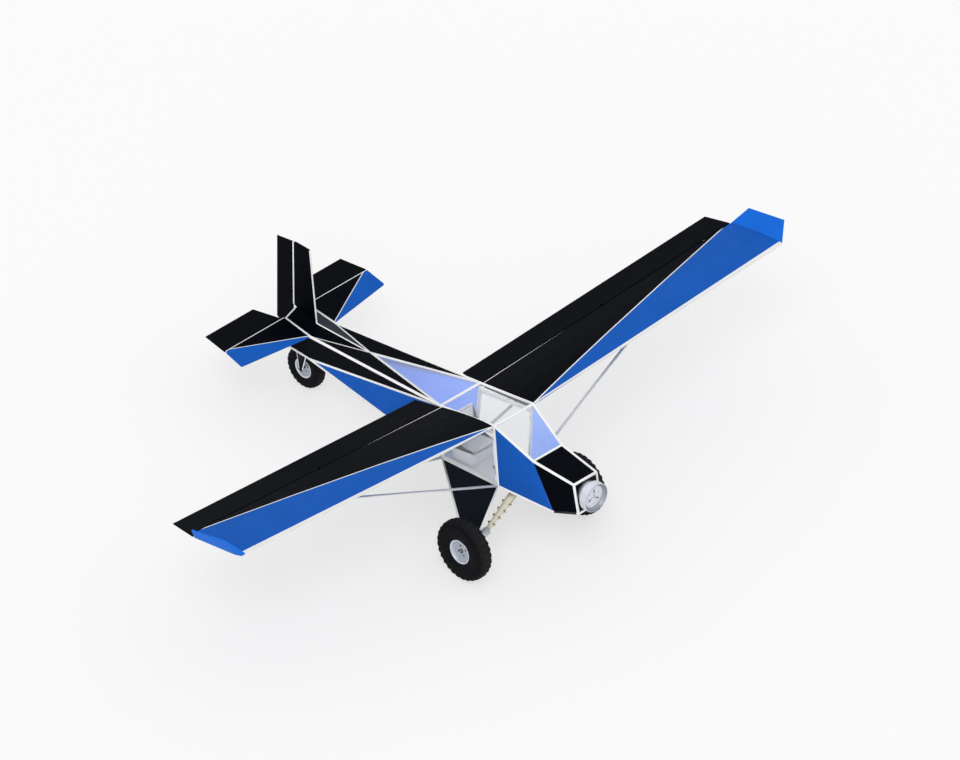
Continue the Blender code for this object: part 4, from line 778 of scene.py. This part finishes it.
# %% Smooth copies of the round solids
SMOOTHED = {
    "fuselage_frame": "white_enamel", "door_frame_left": "white_enamel", "door_frame_right": "white_enamel",
    "gear_leg_left": "white_enamel", "gear_leg_right": "white_enamel", "motor_mount": "aluminium",
    "shock_strut_left": "tan_enamel", "shock_strut_right": "tan_enamel", "tail_fork": "black_enamel",
    "lift_strut_front_left": "pale_enamel", "lift_strut_front_right": "pale_enamel",
    "lift_strut_rear_left": "pale_enamel", "lift_strut_rear_right": "pale_enamel",
}
bodies = frame["record"]["behaviour"]["bodies"]
body_of_node = {node: body for body, group in bodies.items() for node in group}
for node, slot in SMOOTHED.items():
    copied = nodes[node].data.copy()
    dress(f"{node}_smooth", tidy(copied), body_of_node[node], finish_for(node), (node,), 42.0)
print("smoothed", len(SMOOTHED), "solids")

# %% [markdown]
# ## Wheels
# A balloon tyre runs at very low pressure, so its section is fat and nearly round. Low blocks along both
# shoulders and a row of small ones between them grip grass: a point moves outwards by the block height
# wherever its place in the section and its angle about the axle both lie in a block.

# %% The tyre's surface
# Height share, width share and row of blocks (0 none, 1 shoulder, 2 middle), from bead to middle.
SECTION = np.array([
    (-0.02, 0.58, 0), (0.03, 0.70, 0), (0.09, 0.81, 0), (0.19, 0.915, 0), (0.32, 0.978, 0), (0.48, 1.0, 0),
    (0.62, 0.985, 0), (0.72, 0.945, 0), (0.735, 0.937, 1), (0.80, 0.890, 1), (0.87, 0.80, 1), (0.93, 0.68, 1),
    (0.965, 0.56, 1), (0.968, 0.545, 0), (0.985, 0.42, 0), (0.987, 0.405, 2), (0.997, 0.22, 2), (1.0, 0.0, 2),
])
BLOCK_STEPS = np.array([0.0, 0.07, 0.43, 0.50, 0.57, 0.93])


def tyre_mesh(name, centre, outer_r, half_w, bead_r, blocks, block_h):
    """Rows are angles about the axle and columns run across the section. A column lies at the radius
    bead + height share x (outer - bead) and at the width share x half width, plus the block height
    along the line from the middle of the section wherever its angle lies in a block of its row."""
    section = np.concatenate([SECTION, SECTION[-2::-1] * (1, -1, 1)])
    up, out, row = section.T
    height = outer_r - block_h - bead_r
    radius, place = bead_r + height * up, half_w * out
    from_middle = np.stack([(up - 0.5) * height, place], 1)
    from_middle /= np.linalg.norm(from_middle, axis=1, keepdims=True)
    phase = np.tile(BLOCK_STEPS, blocks)
    angle = ((np.arange(blocks)[:, None] + BLOCK_STEPS) / blocks).ravel() * math.tau
    early = (phase > 0.05) & (phase < 0.45)
    late = phase > 0.55
    raised = block_h * (early[:, None] & (row == 1) | late[:, None] & (row == 2))
    grown, shifted = radius + raised * from_middle[:, 0], place + raised * from_middle[:, 1]
    spokes = np.stack([np.cos(angle), np.zeros_like(angle), np.sin(angle)], 1)
    grid = centre + grown[..., None] * spokes[:, None] + shifted[..., None] * LEFT
    return tidy(grid_mesh(name, grid, around=True, along=True))


print("tyre section of", 2 * len(SECTION) - 1, "points")

# %% [markdown]
# Each tyre sits on a spun hub: two rims with rolled lips, a deep barrel and a coned disc on a boss, held by
# four dark bolts. A hub is spun over a former, so its section is turned about the axle.

# %% The hub's section
LIP = np.array([(-0.006, 0.60), (0.002, 0.672), (0.0085, 0.732), (0.0095, 0.754), (0.008, 0.772),
                (0.0035, 0.776), (-0.006, 0.750), (-0.012, 0.660)])
BOSS_WALL = 0.020


def hub_profile(half_w, bead_r, bore):
    """The closed section of a hub: radius, and place towards its outer side."""
    lip = LIP * (1, half_w) + (bead_r, 0)
    boss = bore + BOSS_WALL
    disc = [(-0.015, 0.42), (-0.022, 0.37)]
    outer_disc = [(bead_r + r, half_w * s) for r, s in disc]
    cone = smooth_line([outer_disc[-1], (bead_r * 0.63, half_w * 0.335), (bead_r * 0.42, half_w * 0.35),
                        (boss + 0.004, half_w * 0.40)], 4).tolist()
    back_cone = [(boss + 0.004, half_w * 0.16), (bead_r * 0.63, half_w * 0.20),
                 (bead_r - 0.022, half_w * 0.24), (bead_r - 0.012, half_w * 0.12)]
    return ([(bore, -half_w * 0.45), (boss, -half_w * 0.45)] + back_cone + (lip[::-1] * (1, -1)).tolist()
            + lip.tolist() + outer_disc[:1] + cone
            + [(boss, half_w * 0.43), (boss - 0.002, half_w * 0.45), (bore, half_w * 0.45)])


print("rolled lip of", len(LIP), "points")

# %% Wheels
# Joint, body, outer side, outer radius, half width, bead radius, bore, blocks and block height.
WHEELS = {
    "main_left": ("wheel_left_spin", "main_wheel_left", 1, 0.420, 0.118, 0.158, 0.0208, 28, 0.009),
    "main_right": ("wheel_right_spin", "main_wheel_right", -1, 0.420, 0.118, 0.158, 0.0208, 28, 0.009),
    "tail": ("tail_wheel_spin", "tail_wheel", -1, 0.290, 0.082, 0.130, 0.0128, 24, 0.006),
}
WHEEL_FACET = math.cos(math.pi / 28)
BOLT_TURNS = np.radians(np.array([35.0, 125.0, 215.0, 305.0]))
joints = {joint["name"]: joint for joint in frame["record"]["behaviour"]["joints"]}
for word, (joint, body, side, outer_r, half_w, bead_r, bore, blocks, block_h) in WHEELS.items():
    centre = np.array(joints[joint]["pos_m"])
    outward = np.array([0.0, side, 0.0])
    tyre = tyre_mesh(f"tread_{word}", centre, outer_r * WHEEL_FACET, half_w, bead_r, blocks, block_h)
    rubber_here = finish_for(f"tyre_{word}")
    dress(f"tread_{word}", tyre, body, rubber_here, (f"tyre_{word}",), 30.0)
    hub = turned(f"spun_hub_{word}", hub_profile(half_w, bead_r, bore), centre, outward, 80)
    dress(f"spun_hub_{word}", hub, body, HUB_METAL, (f"hub_{word}",), 40.0)
    spots = centre + bead_r * 0.44 * np.stack([np.cos(BOLT_TURNS), 0 * BOLT_TURNS, np.sin(BOLT_TURNS)], 1)
    bolts = [bar("bolt", spot + outward * half_w * 0.33, spot + outward * half_w * 0.42, half_w * 0.085, 6)
             for spot in spots]
    dress(f"hub_bolts_{word}", bolts, body, BOLT_METAL, (), 30.0)
print("wheels", list(WHEELS))

# %% [markdown]
# ## Motor
# The motor is an outer drum that turns about a fixed stator. The real one is turned on a lathe, so its
# section is turned here too, with two fine grooves and a dished front.

# %% The turned drum
dish = smooth_line([(0.1860, 0.1042), (0.1835, 0.098), (0.1750, 0.078), (0.1640, 0.0625), (0.1480, 0.0556)],
                   4).tolist()
drum_profile = [
    (0.0227, 0.0), (0.191, 0.0), (0.1965, 0.0025), (0.199, 0.008), (0.199, 0.014), (0.1982, 0.0145),
    (0.1982, 0.0175), (0.199, 0.018), (0.199, 0.087), (0.1982, 0.0875), (0.1982, 0.0905), (0.199, 0.091),
    (0.199, 0.097), (0.1965, 0.1025), (0.192, 0.105), (0.188, 0.105), *dish,
    (0.138, 0.055), (0.040, 0.055), (0.036, 0.0585), (0.0227, 0.0585),
]
motor_back = parked(MOTOR_BACK)
drum = turned("turned_drum", drum_profile, motor_back, AHEAD, 112)
dress("turned_drum", drum, "motor", DRUM_METAL, ("motor_drum",), 32.0)
print("drum of", len(drum.vertices), "points")

# %% [markdown]
# A spider of three ribs lies in the dish, with a dark bolt near the end of each and a small screw between
# them.

# %% The drum's spider and bolts
MOTOR_DEPTH, DISH_DEPTH = 0.105, 0.050
floor_centre = motor_back + AHEAD * (MOTOR_DEPTH - DISH_DEPTH)


def spoke_at(degrees):
    """The way out from the shaft at a turn about it."""
    turn = math.radians(degrees)
    return math.cos(turn) * LEFT + math.sin(turn) * UP


def head(spoke, distance, height, radius):
    """A six-sided head on the dish's floor, at a distance from the shaft."""
    foot = floor_centre + spoke * distance
    return bar("head", foot, foot + AHEAD * height, radius, 6)


spider, heads = [], []
for degrees in (85, 205, 325):
    spoke, gap = spoke_at(degrees), spoke_at(degrees + 60)
    spider.append(bar("rib", floor_centre + spoke * 0.040, floor_centre + spoke * 0.105, 0.0035, 12))
    heads += [head(spoke, 0.078, 0.009, 0.0085), head(gap, 0.094, 0.004, 0.004)]
dress("drum_spider", spider, "motor", BOLT_METAL)
dress("drum_bolts", heads, "motor", BOLT_METAL, (), 30.0)
print("drum front:", len(spider), "ribs and", len(heads), "heads")

# %% [markdown]
# ## Gear fittings
# Each shock strut is four sleeves, one inside the next, closed by a collar. A dark bolt goes through the
# ears at the end of each sleeve. They repeat down the strut, so a loop places them by their share of its
# length. The tail fork's arms have white edge tubes, and a nut closes each main wheel's spindle.

# %% Collars, bolts, fork edges and nuts
SHOCK_TOP, SHOCK_FOOT = (0.1375, 0.030, -0.990), (0.1375, 0.6375, -1.4033)
SLEEVES = ((0.41, 0.054), (0.56, 0.046), (0.70, 0.039), (0.85, 0.034))
for side, word in ((1, "left"), (-1, "right")):
    top, foot = parked(np.array(SHOCK_TOP) * (1, side, 1)), parked(np.array(SHOCK_FOOT) * (1, side, 1))
    way = (foot - top) / np.linalg.norm(foot - top)
    length = np.linalg.norm(foot - top)
    through = np.cross(way, AHEAD)
    collars, bolts = [], []
    for share, radius in SLEEVES:
        end = top + way * length * share
        collars.append(turned("collar", [(radius + 0.0004, -0.010), (radius + 0.004, -0.0085),
                                         (radius + 0.004, -0.0015), (radius + 0.0004, 0.0)], end, way, 48))
        for across in (1, -1):
            spot = end - way * 0.026 + AHEAD * across * (radius + 0.010)
            bolts.append(bar("bolt", spot - through * 0.021, spot + through * 0.021, 0.0095, 6))
    dress(f"shock_collars_{word}", collars, "airframe", TAN_ENAMEL)
    dress(f"shock_bolts_{word}", bolts, "airframe", BOLT_METAL, (), 30.0)
    hub_face = np.array(joints[f"wheel_{word}_spin"]["pos_m"]) + np.array([0.0, side * 0.054, 0.0])
    nut = turned("nut", [(0.0202, 0.0), (0.030, 0.0), (0.030, 0.011), (0.026, 0.013), (0.0202, 0.013)],
                 hub_face, (0, side, 0), 6)
    dress(f"spindle_nut_{word}", nut, "airframe", BOLT_METAL, (), 30.0)
FORK_LINES = (((-3.5585, -0.7835), (-3.6365, -1.075)), ((-3.744, -0.7835), (-3.6885, -1.075)))
FORK_HALF_W = 0.098
edges = [bar("edge", parked((x0, y, z0)), parked((x1, y, z1)), 0.0075, 14)
         for y in (FORK_HALF_W, -FORK_HALF_W) for (x0, z0), (x1, z1) in FORK_LINES]
dress("fork_edges", edges, "tail_fork", WHITE_ENAMEL)
print(2 * len(SLEEVES), "collars, two nuts and", len(edges), "fork edges")

# %% [markdown]
# ## Cabin
# The seat is a moulded shell with two loose cushions. The shell is an outline carried across the cabin,
# with its edges eased.

# %% The seat's shell
SHELL = [(-0.525, -0.9605), (-0.8815, -0.984), (-0.9462, -0.3795), (-0.9345, -0.3795), (-0.8862, -0.8328),
         (-0.4735, -0.7602)]
SHELL_HALF_W = 0.206
outline = parked(np.array([(x, 0.0, z) for x, z in SHELL]))
sides = LEFT * np.array([-SHELL_HALF_W, SHELL_HALF_W])[:, None]
shell = tidy(grid_mesh("seat_shell", outline[None] + sides[:, None]))
eased = bmesh.new()
eased.from_mesh(shell)
bmesh.ops.bevel(eased, geom=list(eased.edges), offset=0.003, segments=2, affect="EDGES")
eased.to_mesh(shell)
eased.free()
dress("seat_shell", shell, "airframe", SHELL_ENAMEL, ("seat",))
print("seat shell of", len(shell.vertices), "points")

# %% [markdown]
# A cushion is fullest in its middle, lies flat on the shell, and its sides pull in between the corners,
# where the cover is tightest. Its surface is a rounded box, |x/a|^p + |y/b|^p + |z/h|^p = 1, swollen by
# (1 - (x/a)^2)(1 - (y/b)^2) on top. A cloth simulation could give it too; a formula is the same each time.

# %% Cushions
PLAN_ROUND, SIDE_ROUND, TOP_ROUND = 0.30, 0.42, 0.80
PULL_X, PULL_Y, EDGE_H, FLAT, PIPING_R = 0.030, 0.035, 0.30, 0.85, 0.0042


def power(value, exponent):
    """A power that keeps the sign."""
    return np.sign(value) * np.abs(value) ** exponent


def pulled(x, y):
    """Sides drawn in between the corners: x (1 - p (1 - y^2)), and y in the same way."""
    return x * (1 - PULL_X * (1 - y**2)), y * (1 - PULL_Y * (1 - x**2))


def cushion(name, middle, along, half_sizes):
    """A stuffed cushion and its piping, from a middle, the way along it and its half sizes."""
    place, along = parked(middle), parked_way(along)
    up = np.cross(along, LEFT)
    a, b, h = half_sizes
    lat = np.linspace(-math.pi / 2, math.pi / 2, 33)[1:-1, None]
    lon = (np.arange(72) * math.tau / 72)[None, :]
    x = power(np.cos(lat), SIDE_ROUND) * power(np.cos(lon), PLAN_ROUND)
    y = power(np.cos(lat), SIDE_ROUND) * power(np.sin(lon), PLAN_ROUND)
    z = power(np.sin(lat), TOP_ROUND) + 0.0 * lon
    z = np.where(z > 0, z * (EDGE_H + (1 - EDGE_H) * (1 - x**2) * (1 - y**2)), np.maximum(z, -FLAT))
    x, y = pulled(x, y)
    grid = place + (x * a)[..., None] * along + (y * b)[..., None] * LEFT + (z * h)[..., None] * up
    turn = np.arange(160) * math.tau / 160
    x, y = pulled(power(np.cos(turn), PLAN_ROUND), power(np.sin(turn), PLAN_ROUND))
    seam = place + (x * a)[:, None] * along + (y * b)[:, None] * LEFT
    return tidy(grid_mesh(name, grid)), swept(f"{name}_piping", seam, PIPING_R, up, 10, closed=True)


for name, middle, along, half_sizes in (
    ("seat_cushion", (-0.652, 0, -0.7575), (0.985, 0, 0.1732), (0.176, 0.196, 0.0345)),
    ("back_cushion", (-0.8935, 0, -0.5620), (0.150, 0, -0.989), (0.172, 0.190, 0.0235)),
):
    stuffed, piping = cushion(name, middle, along, half_sizes)
    dress(name, stuffed, "airframe", SEAT_CLOTH, (), 60.0)
    dress(f"{name}_piping", piping, "airframe", PIPING_CLOTH, (), 60.0)
    print(name, len(stuffed.vertices), "points")

# %% [markdown]
# The stick stands in a folded boot and ends in a grip with swells for the fingers. The boot and the grip
# are turned profiles with a wave along them. The rod is bent, so it is carried along a line.

# %% Stick
STICK_FOOT = np.array([-0.300, 0.0, -0.9483])
folds = np.linspace(0, 1, 33)
boot_r = 0.043 - 0.029 * folds + 0.0030 * np.cos(folds * math.tau * 4)
boot_profile = np.stack([boot_r, 0.0035 + 0.040 * folds], 1)
boot = turned("stick_boot", boot_profile, parked(STICK_FOOT), UP, 48, closed=False)
rod_line = parked(smooth_line(STICK_FOOT + np.array([(0, 0, 0.030), (-0.006, 0, 0.090), (-0.020, 0, 0.150),
                                                     (-0.035, 0, 0.230), (-0.040, 0, 0.255)]), 6))
rod = swept("stick_rod", rod_line, 0.0108, (0.0, 1.0, 0.0), 24)
grip_way = parked_way((-0.015, 0, 0.080))
grip_run = np.linspace(0, 1, 41)
grip_r = 0.0155 + 0.0014 * np.cos(grip_run * math.tau * 4) - 0.006 * np.abs(2 * grip_run - 1) ** 14
grip = turned("stick_grip", np.stack([grip_r, 0.100 * grip_run], 1),
              parked(STICK_FOOT + (-0.035, 0, 0.230)), grip_way, 40, closed=False)
dress("stick_dressed", [boot, rod, grip], "airframe", BLACK_ENAMEL,
      ("control_stick",), 50.0)
print("boot", len(boot.vertices), "points, rod", len(rod.vertices), "and grip", len(grip.vertices))

# %% [markdown]
# Each pedal has three ribs against slipping. Three round dials fill the panel, each a bezel, a dark face, a
# ring of plain marks and a needle.

# %% Pedal ribs
LEAN = math.radians(20)
pedal_up = np.array([math.sin(LEAN), 0, math.cos(LEAN)])
pedal_face = np.array([math.cos(LEAN), 0, -math.sin(LEAN)])
PEDAL_FOOT = np.array([0.620, 0.0, -0.9123])
ribs = [
    bar("rib", parked(spot - (0, 0.034, 0)), parked(spot + (0, 0.034, 0)), 0.003, 10)
    for y in (0.085, -0.085) for rise in (0.080, 0.105, 0.130)
    for spot in [PEDAL_FOOT + (0, y, 0) + pedal_up * rise - pedal_face * 0.0065]
]
dress("pedal_ribs", ribs, "airframe", BLACK_ENAMEL)
print(len(ribs), "pedal ribs")

# %% Dials
BEZEL = [(0.036, 0.0), (0.045, 0.0), (0.045, 0.004), (0.041, 0.007), (0.036, 0.004)]
NEEDLE_WAY = math.cos(0.9) * UP + math.sin(0.9) * LEFT
bezels, faces, marks = [], [], []
for y in (-0.108, 0.0, 0.108):
    spot = parked((0.5982, y, -0.368))
    bezels.append(turned("bezel", BEZEL, spot, -AHEAD, 48))
    faces.append(bar("face", spot, spot - AHEAD * 0.0015, 0.0355, 40))
    on_face, on_needle = spot - AHEAD * 0.0018, spot - AHEAD * 0.0025
    for degrees in range(-120, 121, 30):
        turn = math.radians(90 - degrees)
        spoke = -math.cos(turn) * LEFT + math.sin(turn) * UP
        marks.append(bar("mark", on_face + spoke * 0.027, on_face + spoke * 0.033, 0.0008, 8))
    marks.append(bar("needle", on_needle - NEEDLE_WAY * 0.006, on_needle + NEEDLE_WAY * 0.024, 0.0011, 8))
dress("dial_bezels", bezels, "airframe", FITTING_METAL)
dress("dial_faces", faces, "airframe", BLACK_ENAMEL)
dress("dial_marks", marks, "airframe", WHITE_ENAMEL)
print(len(bezels), "dials with", len(marks), "marks and needles")

# %% [markdown]
# ## Setting, light and camera
# The aeroplane stands on a plain pale floor. Part of the floor's brightness is a glow that only the camera
# and reflections see, so the background turns white but the floor still shows the shadow.

# %% Floor
BACKDROP = 0.965
GLOW_SHARE = 0.62


def seen(tree):
    """1 for the camera, reflections and views through glazing, and 0 for light on other things."""
    path = tree.nodes.new("ShaderNodeLightPath")
    direct = calc(tree, "MAXIMUM", path.outputs["Is Camera Ray"], path.outputs["Is Glossy Ray"])
    return calc(tree, "MAXIMUM", direct, path.outputs["Is Transmission Ray"])


floor_mesh = bpy.data.meshes.new("floor")
floor_mesh.from_pydata([(-60, -60, 0), (60, -60, 0), (60, 60, 0), (-60, 60, 0)], [], [(0, 1, 2, 3)])
floor = bpy.data.objects.new("floor", floor_mesh)
bpy.context.scene.collection.objects.link(floor)
pale, tree, shader = begin("pale floor")
shader.inputs["Base Color"].default_value = (0.93, 0.93, 0.93, 1.0)
shader.inputs["Roughness"].default_value = 1.0
shader.inputs["Specular IOR Level"].default_value = 0.0
glow = tree.nodes.new("ShaderNodeEmission")
glow.inputs["Color"].default_value = (1.0, 1.0, 1.0, 1.0)
glow.inputs["Strength"].default_value = BACKDROP
blend = tree.nodes.new("ShaderNodeMixShader")
tree.links.new(calc(tree, "MULTIPLY", seen(tree), GLOW_SHARE), blend.inputs[0])
tree.links.new(shader.outputs[0], blend.inputs[1])
tree.links.new(glow.outputs[0], blend.inputs[2])
tree.links.new(blend.outputs[0], tree.nodes["Material Output"].inputs["Surface"])
floor_mesh.materials.append(pale)
print("floor glow", BACKDROP, "over a share of", GLOW_SHARE)

# %% [markdown]
# The light is even: a white sky, a soft key lamp from above, and a faint fill lamp that shines from lower
# down, ahead and to the right. The camera sees a brighter sky than the one that lights the aeroplane.

# %% Sky and lamps
SKY_LIGHT = 0.80
world = bpy.data.worlds.new("studio")
world.use_nodes = True
sky, backdrop = world.node_tree, world.node_tree.nodes["Background"]
backdrop.inputs["Color"].default_value = (1.0, 1.0, 1.0, 1.0)
sky.links.new(between(sky, seen(sky), SKY_LIGHT, BACKDROP - 0.01), backdrop.inputs["Strength"])
bpy.context.scene.world = world


def sun(name, strength, spread, way):
    """A far lamp that shines along a way, with soft shadows from its spread in degrees."""
    lamp = bpy.data.lights.new(name, "SUN")
    lamp.energy = strength
    lamp.angle = math.radians(spread)
    made = bpy.data.objects.new(name, lamp)
    made.rotation_euler = Vector(way).to_track_quat("-Z", "Y").to_euler()
    bpy.context.scene.collection.objects.link(made)


sun("key lamp", 0.75, 25, (-0.30, 0.50, -0.81))
sun("fill lamp", 0.35, 40, (-0.60, 0.72, -0.34))
print("lamps:", [lamp.name for lamp in bpy.data.lights])

# %% [markdown]
# The camera looks along the diagonal of a cube fixed to the drawing, without perspective, so that every
# axis is equally shortened, as in an isometric drawing.

# %% Camera
VIEW_SHIFT, VIEW_RISE, VIEW_WIDTH, VIEW_FAR = -0.42125, 0.4375, 12.0, 25.0
camera_data = bpy.data.cameras.new("view camera")
camera_data.type = "ORTHO"
camera_data.ortho_scale = VIEW_WIDTH
camera_data.clip_end = 120.0
camera = bpy.data.objects.new("view camera", camera_data)
view_right = parked_way((1, 1, 0))
view_up = parked_way((-1, 1, 2))
view_out = parked_way((1, -1, 1))
eye = ROOT + VIEW_SHIFT * view_right + VIEW_RISE * view_up + VIEW_FAR * view_out
rows = [[view_right[i], view_up[i], view_out[i], eye[i]] for i in range(3)] + [[0, 0, 0, 1]]
camera.matrix_world = Matrix(rows)
bpy.context.scene.collection.objects.link(camera)
bpy.context.scene.camera = camera
bpy.context.scene.view_settings.view_transform = "Standard"
print("camera at", eye.round(2), "sees", VIEW_WIDTH, "m")
